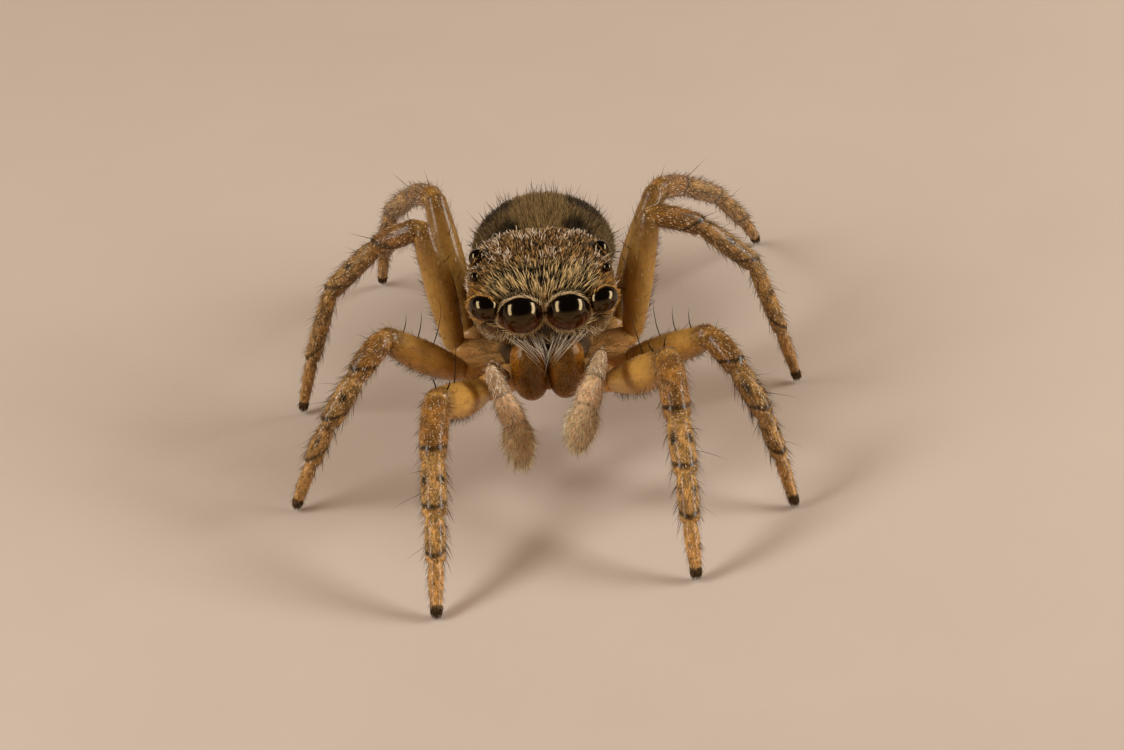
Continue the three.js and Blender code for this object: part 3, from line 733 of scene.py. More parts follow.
def triangle_mesh(name, points, faces, spots, colours):
    mesh = bpy.data.meshes.new(name)
    mesh.vertices.add(len(points))
    mesh.vertices.foreach_set("co", (points * MM).ravel())
    mesh.loops.add(faces.size)
    mesh.loops.foreach_set("vertex_index", faces.ravel())
    mesh.polygons.add(len(faces))
    mesh.polygons.foreach_set("loop_start", np.arange(0, faces.size, 3))
    mesh.polygons.foreach_set("use_smooth", np.ones(len(faces), bool))
    layer = mesh.uv_layers.new(name=BAKE_MAP)
    layer.data.foreach_set("uv", spots[faces.ravel()].ravel())
    set_markings(mesh, colours)
    mesh.update(calc_edges=True)
    mesh.validate()
    return mesh


def scatter(surface, name, density, seed=0, cells=CELLS):
    """A layer's roots spread over a surface by a density function of (u, v, points)."""
    layer = LAYERS[name]
    seed += layer.seed
    rng = np.random.default_rng(seed)
    u, v = np.meshgrid((np.arange(cells[0]) + 0.5) / cells[0], (np.arange(cells[1]) + 0.5) / cells[1])
    u, v = u.ravel(), v.ravel()
    weight = np.linalg.norm(np.cross(*slopes(surface, u, v)), axis=-1)
    weight = weight * density(u, v, surface(u, v))
    chosen = rng.choice(len(u), size=layer.count, p=weight / weight.sum())
    u = (u[chosen] + rng.uniform(-0.5, 0.5, layer.count) / cells[0]) % 1
    v = v[chosen] + rng.uniform(-0.5, 0.5, layer.count) / cells[1]
    return roots_at(surface, layer, u, np.clip(v, POLE_MARGIN, 1 - POLE_MARGIN), seed)


def slopes(surface, u, v):
    """How fast a surface moves along v and along u."""
    step = 1e-3
    low = np.clip(v - step, 0, 1)
    high = np.clip(v + step, 0, 1)
    around = surface(u + step, v) - surface(u - step, v)
    along = surface(u, high) - surface(u, low)
    return along / (high - low)[:, None], around / (2 * step)


def roots_at(surface, layer, u, v, seed):
    along, around = slopes(surface, u, v)
    left, low, wide, high = WHOLE_PATCH
    spots = np.stack([left + u * wide, low + v * high], 1)
    hairs = Hairs(layer, surface(u, v), unit(np.cross(along, around)), spots, seed + 1)
    hairs.u, hairs.v, hairs.along = u, v, unit(along)
    return hairs


def kept(hairs, keep):
    """Only the hairs for which keep is true."""
    fewer = Hairs(hairs.layer, hairs.root[keep], hairs.normal[keep], hairs.uv[keep])
    fewer.rng = hairs.rng
    fewer.u, fewer.v, fewer.along = hairs.u[keep], hairs.v[keep], hairs.along[keep]
    return fewer


# ---------------------------------------------------------------- colours and sizes a user may change

def srgb(red, green, blue):
    """A colour as scene values, from its screen values of 0 to 255."""
    return tuple(((channel / 255 + 0.055) / 1.055) ** 2.4 for channel in (red, green, blue))


def colour_prop(name, description, screen):
    return bpy.props.FloatVectorProperty(
        name=name, description=description, subtype="COLOR", size=3, min=0, max=1, default=srgb(*screen))


def length_prop(name, description, millimetres):
    return bpy.props.FloatProperty(
        name=name, description=description, unit="LENGTH", min=0, precision=6, default=millimetres * MM)


def ratio_prop(name, description, usual):
    return bpy.props.FloatProperty(
        name=name, description=description, subtype="FACTOR", min=0.1, soft_max=2, default=usual)


class SpiderColours(bpy.types.PropertyGroup):
    """Colours of the skin and the coat."""

    shell: colour_prop("Shell", "Skin of the head and thorax under the scales", (20, 14, 6))
    cheek: colour_prop("Cheek", "Bare cheeks and the rim above the jaws", (98, 66, 32))
    # The underside is painted lighter, partly as painted light that makes up for the shade under the body.
    belly: colour_prop("Underside", "Breastplate, coxae and waist", (206, 152, 86))
    thigh: colour_prop("Thigh", "Amber skin of the femora", (198, 146, 68))
    knee: colour_prop("Knee", "Skin of the patellae", (150, 98, 34))
    shank: colour_prop("Shank", "Skin of tibiae and metatarsi", (182, 134, 70))
    foot: colour_prop("Foot", "Skin of the tarsi", (204, 148, 78))
    ring: colour_prop("Ring", "Dark rings and spots of the legs", (16, 10, 3))
    # The palp colour is painted lighter, partly as painted light that makes up for the shade on the
    # downward-facing tarsus.
    palp: colour_prop("Palp", "Skin of the palps", (238, 196, 148))
    jaw: colour_prop("Jaw", "Middle of the chelicerae", (112, 70, 12))
    jaw_edge: colour_prop("Jaw edge", "Outer edge and tip of the chelicerae", (172, 108, 28))
    lens: colour_prop("Lens", "Dark middle of the eyes", (5, 2, 1))
    # Lower rim of the eyes: partly their own red-brown, partly a painted reflection of the floor.
    lens_rim_and_reflection: colour_prop("Lens glow", "Lower rim of the big eyes", (62, 21, 0))
    abdomen_dark: colour_prop("Abdomen dark", "Dark patches of the abdomen", (46, 34, 15))
    abdomen_pale: colour_prop("Abdomen pale", "Middle band and flanks of the abdomen", (166, 134, 82))
    scale_pale: colour_prop("Pale scales", "Pale yellow scales of the head", (242, 203, 137))
    scale_tan: colour_prop("Tan scales", "Brown scales of the crown and thorax", (196, 142, 78))
    scale_orange: colour_prop("Orange scales", "Scales beside the eyes", (218, 148, 44))
    scale_white: colour_prop("White hair", "Tufts, beard and glints", (250, 232, 206))
    scale_dark: colour_prop("Dark hair", "Dark scales, bristles and spines", (16, 10, 3))
    hair_brown: colour_prop("Brown hair", "Fine hair of legs and abdomen", (80, 54, 26))
    tuft: colour_prop("Claw tufts", "Brush under the claws", (84, 62, 36))
    floor: colour_prop("Floor", "The plain floor", (206, 187, 169))


class SpiderCoat(bpy.types.PropertyGroup):
    """Lengths of the coat."""

    head_depth: length_prop("Head coat", "Depth of the head's coat", 0.05)
    abdomen_depth: length_prop("Abdomen coat", "Depth of the abdomen's coat", 0.07)
    scale: length_prop("Scale", "Length of a scale on the head", 0.17)
    fringe: length_prop("Rim hair", "Length of the hairs round the eyes", 0.1)
    beard: length_prop("Beard", "Length of the hairs over the jaws", 0.52)
    leg_hair: length_prop("Leg hair", "Length of the fine hair of the legs", 0.15)
    spine: ratio_prop("Spines", "Length of the legs' spines, as a share of the usual length", 1.0)
    palp_hair: length_prop("Palp hair", "Length of the hair of the palps", 0.13)
    abdomen_hair: length_prop("Abdomen hair", "Length of the hair of the abdomen", 0.15)


def tint(name):
    """A chosen colour, as an array."""
    return np.array(getattr(bpy.context.scene.spider_colours, name))


def coat(name):
    """A chosen coat length in mm, or the share for the spines."""
    value = getattr(bpy.context.scene.spider_coat, name)
    return value if name == "spine" else value / MM


# ---------------------------------------------------------------- materials

# Skins: roughness, mottling, size of the grain and height of its relief (mm), and how much light
# passes through.
SKINS = {
    "Head skin": (0.42, 0.3, 0.035, 0.008, 0.1),
    "Underside skin": (0.4, 0.25, 0.04, 0.006, 0.25),
    "Mouth shell": (0.35, 0.25, 0.03, 0.004, 0.1),
    "Jaw shell": (0.27, 0.45, 0.022, 0.005, 0.1),
    "Abdomen skin": (0.55, 0.3, 0.04, 0.01, 0.1),
    "Spinneret skin": (0.5, 0.3, 0.03, 0.006, 0.2),
    "Palp skin": (0.5, 0.25, 0.03, 0.006, 0.2),
}
# How light passes through: how far red, green and blue go beside each other, and how far (mm).
SKIN_DEPTH = ((1.0, 0.45, 0.2), 0.08)
LEG_DEPTH = ((1.0, 0.5, 0.15), 0.03)
# The part of a noise's range that is used, and what it does to a soft shade.
NOISE_SPAN = (0.3, 0.7)
FINE_SPAN = (0.35, 0.65)
SOFT_SHADES = (0.85, 1.15)

# The leg skin: roughness, specular level, gloss and its roughness, glow and relief (mm). Its
# patterns are (size in mm, or counts round and along the limb), detail, part of the noise's range
# and what it becomes.
LEG_SKIN_LOOK = {
    "rough": 0.34, "specular": 0.24, "gloss": 0.34, "gloss_rough": 0.2, "glow": 0.25, "relief": 0.04,
}
STREAKS = (40, 40)
LEG_RELIEF_NOISE = (0.03, 3)
LEG_PATTERNS = {
    "smooth": (0.2, 3, NOISE_SPAN, (0.86, 1.1)),
    "blotch": ((7, 26), 2, (0.37, 0.64), (0.55, 1.42)),
    "grain": (0.04, 2, (0.36, 0.62), (0.66, 1.12)),
    "speck": (0.018, 2, (0.36, 0.62), (0.76, 1.1)),
    # Lighter and darker lengthwise streaks in the colour: partly the cuticle's grain, partly painted
    # highlight.
    "streak_and_painted_sheen": (STREAKS, 2, (0.3, 0.68), (0.78, 1.2)),
    # Painted highlight: cream spots mixed into the skin's colour.
    "painted_glint": (0.028, 1, (0.6, 0.68), (0, 0.75)),
    "rough": (STREAKS, 2, NOISE_SPAN, (0.24, 0.44)),
}

# Colours of the sheen on skin and hair, on the eyes, and of the painted glints (painted highlights) on the
# legs.
SHEEN_TINT = (1.0, 0.82, 0.6)
LENS_TINT = (1.0, 0.66, 0.3)
PAINTED_GLINT = (0.8, 0.56, 0.3)


def set_inputs(node, values):
    for name, value in values.items():
        node.inputs[name].default_value = value


def added(tree, kind, values=None, links=(), operation=None):
    """A new node, with inputs set by name, and others linked, given as (input, output)."""
    node = tree.nodes.new(kind)
    if operation:
        node.operation = operation
    set_inputs(node, values or {})
    for name, output in links:
        tree.links.new(output, node.inputs[name])
    return node


def new_material(name, roughness, specular=0.5, gloss=0.0, gloss_roughness=0.1):
    """A principled material whose colour comes from the painted markings."""
    material = bpy.data.materials.new(name)
    material.use_nodes = True
    tree = material.node_tree
    shader = tree.nodes["Principled BSDF"]
    set_inputs(shader, {
        "Roughness": roughness, "Specular IOR Level": specular, "Specular Tint": (*SHEEN_TINT, 1),
        "Coat Weight": gloss, "Coat Roughness": gloss_roughness,
    })
    paint = tree.nodes.new("ShaderNodeAttribute")
    paint.attribute_name = MARKINGS
    return material, tree, shader, paint


def lit_through(shader, weight, depth):
    """Lets light pass through a skin."""
    names = ("Subsurface Weight", "Subsurface Radius", "Subsurface Scale")
    set_inputs(shader, dict(zip(names, (weight, depth[0], depth[1] * MM))))


def noise_on(tree, size, detail):
    """Noise about size mm wide, fixed to the object, or one with counts on the piece's own map."""
    if isinstance(size, tuple):
        place = tree.nodes.new("ShaderNodeUVMap")
        place.uv_map = BAKE_MAP
        place, scale = place.outputs["UV"], (*size, 1)
    else:
        place, scale = added(tree, "ShaderNodeTexCoord").outputs["Object"], [1 / (size * MM)] * 3
    mapping = added(tree, "ShaderNodeMapping", {"Scale": scale}, [("Vector", place)])
    values = {"Scale": 1.0, "Detail": detail}
    return added(tree, "ShaderNodeTexNoise", values, [("Vector", mapping.outputs[0])]).outputs["Fac"]


def multiplied(tree, first, second):
    links = [(0, first), (1, second)]
    return added(tree, "ShaderNodeMath", None, links, "MULTIPLY").outputs["Value"]


def ranged(tree, value, span, result):
    """A value whose span becomes another range."""
    names = ("From Min", "From Max", "To Min", "To Max")
    values = dict(zip(names, (*span, *result)))
    return added(tree, "ShaderNodeMapRange", values, [("Value", value)]).outputs["Result"]


def mixed_colours(tree, share, first, second):
    """A mix of two colours, each a plain colour or another node's output."""
    node = tree.nodes.new("ShaderNodeMix")
    node.data_type = "RGBA"
    tree.links.new(share, node.inputs["Factor"])
    for name, colour in (("A", first), ("B", second)):
        if isinstance(colour, bpy.types.NodeSocket):
            tree.links.new(colour, node.inputs[name])
        else:
            node.inputs[name].default_value = (*colour, 1)
    return node.outputs["Result"]


def shaded(tree, colour, shade):
    """A colour made darker or lighter by a factor."""
    links = [(0, colour), ("Scale", shade)]
    return added(tree, "ShaderNodeVectorMath", None, links, "SCALE").outputs["Vector"]


def bumped(tree, shader, height, depth):
    """Bump of a depth in mm."""
    values = {"Distance": depth * MM, "Strength": 1.0}
    bump = added(tree, "ShaderNodeBump", values, [("Height", height)])
    tree.links.new(bump.outputs["Normal"], shader.inputs["Normal"])


def cuticle(name):
    """Skin of a limb or a body: mottled, finely grained, a little light passes through."""
    roughness, mottle, grain, relief, glow = SKINS[name]
    material, tree, shader, paint = new_material(name, roughness)
    blotch = ranged(tree, noise_on(tree, 4 * grain, 3), NOISE_SPAN, (1 - mottle, 1 + mottle / 2))
    speck = ranged(tree, noise_on(tree, grain, 2), FINE_SPAN, (1 - mottle / 2, 1 + mottle / 3))
    tone = multiplied(tree, blotch, speck)
    tree.links.new(shaded(tree, paint.outputs["Color"], tone), shader.inputs["Base Color"])
    rough = ranged(tree, noise_on(tree, grain, 2), NOISE_SPAN, (roughness * 0.8, roughness * 1.25))
    tree.links.new(rough, shader.inputs["Roughness"])
    bumped(tree, shader, noise_on(tree, grain, 3), relief)
    lit_through(shader, glow, SKIN_DEPTH)
    return material


def leg_finish(name):
    """Amber skin, smooth on the thighs and grainy on the shanks, with a wet gloss, painted cream glints
    and partly painted lengthwise highlights.
    """
    look = LEG_SKIN_LOOK
    material, tree, shader, paint = new_material(
        name, look["rough"], look["specular"], look["gloss"], look["gloss_rough"])
    grainy = paint.outputs["Alpha"]
    noise_of = cache(partial(noise_on, tree))
    streaks = noise_of(STREAKS, 2)

    def pattern(kind):
        size, detail, span, result = LEG_PATTERNS[kind]
        return ranged(tree, noise_of(size, detail), span, result)

    rough = multiplied(tree, pattern("blotch"), pattern("grain"))
    rough = multiplied(tree, rough, multiplied(tree, pattern("speck"), pattern("streak_and_painted_sheen")))
    links = [("Factor", grainy), ("A", pattern("smooth")), ("B", rough)]
    tone = added(tree, "ShaderNodeMix", None, links)
    skin = shaded(tree, paint.outputs["Color"], tone.outputs["Result"])
    painted_glint = multiplied(tree, pattern("painted_glint"), grainy)
    tree.links.new(mixed_colours(tree, painted_glint, skin, PAINTED_GLINT), shader.inputs["Base Color"])
    tree.links.new(pattern("rough"), shader.inputs["Roughness"])
    relief = multiplied(tree, streaks, noise_of(*LEG_RELIEF_NOISE))
    bumped(tree, shader, multiplied(tree, relief, grainy), look["relief"])
    lit_through(shader, look["glow"], LEG_DEPTH)
    return material


def painted_finish(name, roughness, specular, size, detail):
    """A finish in the painted colours, softly shaded by noise."""
    material, tree, shader, paint = new_material(name, roughness, specular)
    tone = ranged(tree, noise_on(tree, size, detail), NOISE_SPAN, SOFT_SHADES)
    tree.links.new(shaded(tree, paint.outputs["Color"], tone), shader.inputs["Base Color"])
    return material, shader


def hair_finish(name, roughness=0.45):
    """Solid hair: painted from root to tip, with a soft gloss."""
    return painted_finish(name, roughness, 0.3, 0.05, 1)[0]


def lens_finish(name):
    """A wet-looking eye whose clear cornea gives warm reflections."""
    material, shader = painted_finish(name, 0.12, 0.78, 0.12, 2)
    set_inputs(shader, {"Specular Tint": (*LENS_TINT, 1)})
    return material


def floor_finish(name, colour):
    """A plain matt floor, its colour a little uneven."""
    material = bpy.data.materials.new(name)
    material.use_nodes = True
    tree = material.node_tree
    shader = tree.nodes["Principled BSDF"]
    set_inputs(shader, {"Roughness": 0.85, "Specular IOR Level": 0.2})
    uneven = mixed_colours(tree, noise_on(tree, 3, 3), 0.96 * colour, 1.03 * colour)
    tree.links.new(uneven, shader.inputs["Base Color"])
    bumped(tree, shader, noise_on(tree, 0.08, 3), 0.003)
    return material


# ---------------------------------------------------------------- markings

# Zones of the head as fades along axes of its frame, each from 0 at the first place to 1 at the
# second: "side" runs out to the side that is dressed, "across" out to both, "back" and "up".
EDGE = 1e-9
ZONES = {
    "cheek skin": [("up", -0.12, -0.4), ("back", 1.6, 0.6)],
    # Painted shade: the middle under the big eyes, where the cheeks' paler colour is held back.
    "painted shade under the eyes": [("across", 0.75, 0.35)],
    "thorax": [("back", 1.5, 2.3)],
    "lower edge": [("up", -0.8, -0.95)],
    "shaded breast": [("back", 1.6, 1.1)],
    "fan sides": [("across", 0.62, 0.9), ("back", 1.1, 0.5)],
    "warm sides": [("across", 0.66, 0.9)],
    "flanks": [("up", -0.9, -0.75), ("up", -0.2, -0.4), ("across", 0.5, 0.8), ("back", 2.4, 2.0)],
    "crown": [("back", 0.5, 0.9), ("back", 2.1, 1.6)],
    "brow": [("up", 0.1 - EDGE, 0.1), ("back", 2.2, 1.6)],
    "beard": [
        ("up", -0.5, -0.44), ("up", -0.3, -0.36), ("side", 0.02, 0.1), ("side", 0.68, 0.6),
        ("back", 0.35 + EDGE, 0.35),
    ],
    "clypeus": [
        ("up", -0.48, -0.4), ("up", -0.26, -0.32), ("side", 0.0, 0.1), ("side", 0.85, 0.7),
        ("back", 0.5 + EDGE, 0.5),
    ],
    "cheek": [("side", 0.55, 0.75), ("up", -0.6, -0.45), ("up", -0.05, -0.15), ("back", 1.1 + EDGE, 1.1)],
    "jaw front": [("back", 0.3, 0.12), ("up", -1.35, -1.1)],
}


def zone(name, points, side=1):
    """How much each point belongs to a zone of the head, from 0 to 1."""
    x, y, z = to_head(points).T
    axes = {"side": x * side, "across": np.abs(x), "back": y, "up": z}
    share = 1.0
    for axis, start, full in ZONES[name]:
        share = share * smoothstep(start, full, axes[axis])
    return share


def wobble(points, size, seed=0.0):
    """Smooth noise of about size mm at each point, from -1 to 1."""
    shift = Vector((seed, 2.7 * seed, -seed))
    return np.array([noise.noise(Vector(point) / size + shift) for point in points])


def paint_shell(u, v, points):
    """Dark skin, paler on the cheeks beside the big eyes, the thorax and the lower edge; in the middle
    under the big eyes the cheeks stay dark as painted shade.
    """
    cheek = zone("cheek skin", points) * (1 - 0.75 * zone("painted shade under the eyes", points))
    colour = blend(tint("shell"), tint("cheek"), cheek)
    colour = blend(colour, 0.55 * tint("cheek"), 0.7 * zone("thorax", points))
    return blend(colour, tint("belly"), zone("lower edge", points))


def paint_breast(u, v, points):
    """The breastplate, dusky in front, where the mouthparts and palps shade it."""
    return blend(tint("belly"), 0.5 * tint("cheek"), zone("shaded breast", points))


def paint_plain(name, strength=1.0):
    def paint(u, v, points):
        return np.tile(strength * tint(name), (len(points), 1))
    return paint


# How bright each pair of legs is.
LEG_TONES = {1: 1.03, 2: 0.86, 3: 0.74, 4: 0.74}
# A leg from the coxa to the toe: skin colour, its brightness and graininess, whether a dark ring
# ends the segment, and where along it a dark spot lies on each side, and how strong.
LEG_MARKS = (
    # The coxae are painted 1.22 times brighter as painted light, to make up for the shade under the body.
    ("belly", 1.22, 0.6, 0, 0, 0),
    ("thigh", 1.0, 0.15, 0, 0, 0),
    ("knee", 1.0, 0.8, 1, 0, 0),
    ("shank", 1.0, 1.0, 1, 0.47, 1.0),
    ("shank", 1.14, 1.0, 1, 0.4, 0.7),
    ("foot", 1.0, 0.8, 0, 0, 0),
)
LEG_TONE, LEG_GRAIN, LEG_RING, SPOT_PLACE, SPOT_STRENGTH = np.array([marks[1:] for marks in LEG_MARKS]).T
# How near a joint the next segment's colour and grain come in (mm), and its share there.
JOINT_REACH = 0.12
JOINT_SHARE = 0.5
GRAIN_REACH = 0.35
# The dusky end of a thigh: where it starts on front and rear legs, where it is full, how much of
# it is left underneath, and how dark and strong it is.
DUSK = {"front": 0.78, "rear": 0.5, "full": 0.97, "under": 0.45, "tone": 0.5, "share": 0.85}
# The ring at a segment's end: how far from the end it is on top and underneath, its width, how far
# and how often it wavers, and the strongest that ring and spot become.
RING = {"top": 0.036, "under": 0.38, "width": 0.042, "waver": 0.008, "waves": 11, "most": 0.97}
# A spot: its places round the leg, the skin's thickness there, and its size round and along.
SPOT = {"places": (0.38, 0.62), "thick": 0.18, "round": 0.06, "along": 0.09}
TOE = (0.12, 0.05)


def paint_leg(tube, number):
    """Amber femora, tan shanks, dark rings at the far joints, dark spots and a black toe."""
    def paint(u, v, points):
        base = np.array([tint(marks[0]) for marks in LEG_MARKS]) * LEG_TONES[number] * LEG_TONE[:, None]
        segment, t = tube.where(v)
        after = np.minimum(segment + 1, TARSUS)
        gone = t * tube.steps[segment]
        left = tube.steps[segment] - gone
        colour = blend(base[segment], base[after], JOINT_SHARE * smoothstep(JOINT_REACH, 0, left))
        before = base[np.maximum(segment - 1, 0)]
        colour = blend(colour, before, JOINT_SHARE * smoothstep(JOINT_REACH, 0, gone))
        back = 0.5 - 0.5 * np.cos(2 * np.pi * u)
        start = DUSK["rear"] if number >= 3 else DUSK["front"]
        dusk = (segment == FEMUR) * smoothstep(start, DUSK["full"], t)
        dusk = dusk * (DUSK["under"] + (1 - DUSK["under"]) * back)
        colour = blend(colour, DUSK["tone"] * tint("knee"), DUSK["share"] * dusk)
        ring_at = RING["under"] + (RING["top"] - RING["under"]) * back
        ring_at = ring_at + RING["waver"] * np.sin(2 * np.pi * RING["waves"] * u)
        patchy = 0.92 + 0.08 * np.sin(6 * np.pi * u + number) * np.cos(10 * np.pi * u + 2 * number)
        ring = LEG_RING[segment] * np.exp(-(((left - ring_at) / RING["width"]) ** 4)) * patchy
        around = np.minimum(*(np.abs(u - place) for place in SPOT["places"])) * 2 * np.pi * SPOT["thick"]
        along = gone - SPOT_PLACE[segment] * tube.steps[segment]
        far = np.hypot(around / SPOT["round"], along / SPOT["along"])
        spot = SPOT_STRENGTH[segment] * np.exp(-far ** 4)
        colour = blend(colour, tint("ring"), np.clip(ring + spot, 0, RING["most"]))
        colour = blend(colour, tint("tuft"), (segment == TARSUS) * smoothstep(*TOE, left))
        grain = LEG_GRAIN[segment]
        grain = grain + (LEG_GRAIN[after] - grain) * smoothstep(GRAIN_REACH, 0.0, left)
        return np.column_stack([colour, grain * (1 - np.clip(ring, 0, 0.9))])
    return paint


# The brightness of a palp's segments, and the dark line at the end of its two middle ones.
PALP_TONES = (("knee", 0.45), ("palp", 0.62), ("palp", 1.0), ("palp", 1.0))
PALP_LINE = {"from_end": 0.02, "width": 0.018, "share": 0.5}


def paint_palp(tube):
    """Pale skin, darker at the root and the tip, with fine dark lines at two joints."""
    def paint(u, v, points):
        segment, t = tube.where(v)
        tones = np.array([tone * tint(name) for name, tone in PALP_TONES])
        left = (1 - t) * tube.steps[segment] - PALP_LINE["from_end"]
        line = np.isin(segment, (1, 2)) * np.exp(-((left / PALP_LINE["width"]) ** 2))
        tip = (segment == 3) * smoothstep(0.5, 1, t)
        colour = blend(tones[segment], 0.5 * tint("palp"), tip * 0.35)
        return blend(colour, tint("ring"), PALP_LINE["share"] * line)
    return paint


def paint_jaw(side):
    """Brown shell, more amber along both edges and at the tip."""
    def paint(u, v, points):
        outward = side * to_head(points)[:, 0] - CHELICERA["place"][0]
        edge = smoothstep(0.02, 0.2, outward) + 0.35 * smoothstep(-0.12, -0.24, outward)
        colour = blend(tint("jaw"), tint("jaw_edge"), 0.8 * np.clip(edge, 0, 1))
        return blend(colour, 0.75 * tint("jaw_edge"), 0.8 * smoothstep(0.74, 0.95, v))
    return paint


def paint_lens(centre, axis, glow):
    """Nearly black, with a red-brown glow round the lower rim, lighter where the lens faces down: partly
    the eye's own colour, partly a painted reflection of the floor.
    """
    def paint(u, v, points):
        way = unit(points - centre)
        low = 0.45 * (1 - way @ unit(axis)) - way[:, 2]
        return blend(tint("lens"), tint("lens_rim_and_reflection"), glow * smoothstep(0.05, 0.5, low))
    return paint


def paint_abdomen(u, v, points):
    """A pale band along the back with dark patches beside it, and paler flanks and belly."""
    return blend(tint("abdomen_dark"), tint("abdomen_pale"), abdomen_tone(u, v, points))


# The abdomen's pattern by the distance from the middle of the back (0 to 1): the edge of the pale
# band, and the inner and outer edge of the dark patches. Then how often the band's edge and the
# patches come along the body, how the patches slant and start, and how pale the flanks are.
BAND_EDGE = (0.17, 0.1)
PATCH_EDGES = ((0.1, 0.15), (0.36, 0.26))
BAND_WAVES = 4.5
PATCH_WAVES = {"count": 3.6, "slant": 0.8, "start": 0.12, "edge": (-0.75, 0.1)}
FLANK_TONE = 0.52


def abdomen_tone(u, v, points):
    """How pale the abdomen is at each point, from 0 to 1."""
    middle = np.abs(u - 0.5) * 2
    rough = wobble(points, 0.2) * 0.35
    edge = middle + 0.02 * np.sin(2 * np.pi * BAND_WAVES * v) + 0.08 * rough
    band = smoothstep(*BAND_EDGE, edge)
    patch = smoothstep(*PATCH_EDGES[0], middle) * smoothstep(*PATCH_EDGES[1], middle)
    turns = PATCH_WAVES["count"] * v + PATCH_WAVES["slant"] * middle + PATCH_WAVES["start"]
    dark = patch * smoothstep(*PATCH_WAVES["edge"], np.sin(2 * np.pi * turns) + 1.3 * rough)
    flank = FLANK_TONE + 0.4 * rough - 0.6 * dark
    return np.clip(band * (0.85 + 0.3 * rough) + (1 - band) * flank, 0, 1)


# ---------------------------------------------------------------- the stage (mm, degrees)

CAMERA = {"pitch": 29.5, "roll": 4.65, "distance": 75.0, "lens": 165.7, "offset": (-0.254, 0.899)}
CAMERA_SENSOR = 36
CAMERA_CLIP = (0.0001, 2)
STAGE_RADIUS = 400
# Each softbox: the way to it from the head, the way of its long side, its width and height, and
# its power.
SOFTBOX_DISTANCE = 60
SOFTBOXES = {
    "Softbox left": ((-0.8, -0.225, 0.56), (0.147, 0.577, 0.369), 17, 60, 0.0295),
    "Softbox right": ((0.9, -0.045, 0.42), (-0.083, 0.556, 0.332), 17, 60, 0.0354),
}
LAMP_COLOUR = (0.93, 0.97, 1.0)
FILL_COLOUR = (1.0, 0.66, 0.37)
FILL_STRENGTH = 0.28
# The backdrop fades from pale to dark between two heights, as sines of the angle above the floor.
BACKDROP_RISE = (0.05, 0.42)
BACKDROP_TOP = 0.04


# ---------------------------------------------------------------- what the pieces are wrapped on

# Patches of the maps that two unlike sheets share, as (left, low, wide, high).
STERNUM_PATCH = (0.01, 0.01, 0.4, 0.32)
WAIST_PATCH = (0.44, 0.01, 0.14, 0.32)
JAW_PATCH = (0.01, 0.01, 0.7, 0.98)
FANG_PATCH = (0.74, 0.01, 0.25, 0.4)
# Like pieces lie side by side on one map: how far apart their strips start, and their width.
STRIPS = {"mouth": (0.33, 0.3), "spinneret": (0.25, 0.23), "claw": (0.062, 0.055)}
# How many points the grids have round and along each skin.
GRIDS = {
    "head": (120, 160), "sternum": (48, 48), "waist": (24, 24), "mouth": (24, 24), "jaw": (40, 56),
    "fang": (20, 20), "abdomen": (100, 130), "spinneret": (24, 24), "leg": (28, 280), "palp": (28, 110),
    "claw": (8, 10),
}


def strips(surfaces, name, paint):
    """Sheets over some like surfaces, side by side in upright strips of one map."""
    step, wide = STRIPS[name]
    return [
        sheet_over(surface, GRIDS[name], paint, (0.01 + step * i, 0.01, wide, 0.98))
        for i, surface in enumerate(surfaces)
    ]


def placed(across, up, back, place):
    """The matrix of a lamp or camera, from its three axes and its place in mm."""
    turn = Matrix(np.stack([across, up, back], 1).tolist())
    return Matrix.Translation(place * MM) @ turn.to_4x4()


def in_head_way(way):
    return HEAD_TURN @ np.asarray(way, float)


def head_rod(start, end, thick, side=1):
    return rod(from_head(mirrored(start, side)), from_head(mirrored(end, side)), *thick)


def jaw_surface(side):
    return head_rod(CHELICERA["place"], CHELICERA["end"], CHELICERA["thick"], side)


def eye_place(name, side):
    """Middle of an eye's ball and the way it looks, in the model's frame."""
    eye = EYES[name]
    return from_head(mirrored(eye["centre"], side)), in_head_way(unit(mirrored(eye["axis"], side)))


def lens_middle(name, side):
    return eye_place(name, side)[0] + in_head_way(mirrored(EYES[name]["shift"], side))


def clear_of_eyes(points):
    """1 where scales may grow beside the eyes, else 0."""
    clear = np.ones(len(points))
    for side in SIDES.values():
        for eye in EYES.values():
            centre = from_head(mirrored(eye["centre"], side))
            clear *= np.linalg.norm(points - centre, axis=-1) > eye["radius"] + eye["bare"]
    return clear


# ---------------------------------------------------------------- the coat of the head

# Where the fan of scales starts, how far it runs back and how much it rises.
FAN_CENTRE = (0.0, -0.25, 0.0)
FAN_BACK = {"least": 0.1, "share": 0.8}
FAN_RISE = 0.25
# The edge of the coat, which comes lower down behind the face.
COAT_EDGE = {"up": (-0.3, -0.05), "lower": 0.25, "back": (0.5, 1.2)}
# A dark patch between the eyes, and how much denser pale scales are near the big eyes' rims.
BARE_PATCH = {"place": (0.63, 0.1, 0.24), "radius": 0.15, "fade": (0.6, 1.1)}
DENSE_RIM = {"fade": (1.35, 1.0), "more": 1.8}
# Where the crown begins, and how ragged the edge is between its scales and the fan's.
CROWN = (0.45, 0.95)
CROWN_RAGGED = 0.15
PALE_BRIGHTNESS = (0.43, 0.96)

# Rims of hair round the left eyes: eye, seed, count, first and last angle from the top outwards,
# colour, share of the rim hair's length, and how far it stands outwards.
RIMS = (
    ("anterior_median", 0, 380, 0, 360, "cream", 1.0, 0.2),
    ("anterior_lateral", 1, 110, -50, 190, "orange", 0.8, 0.4),
    ("posterior_lateral", 2, 60, 0, 360, "orange", 0.6, 1.6),
)
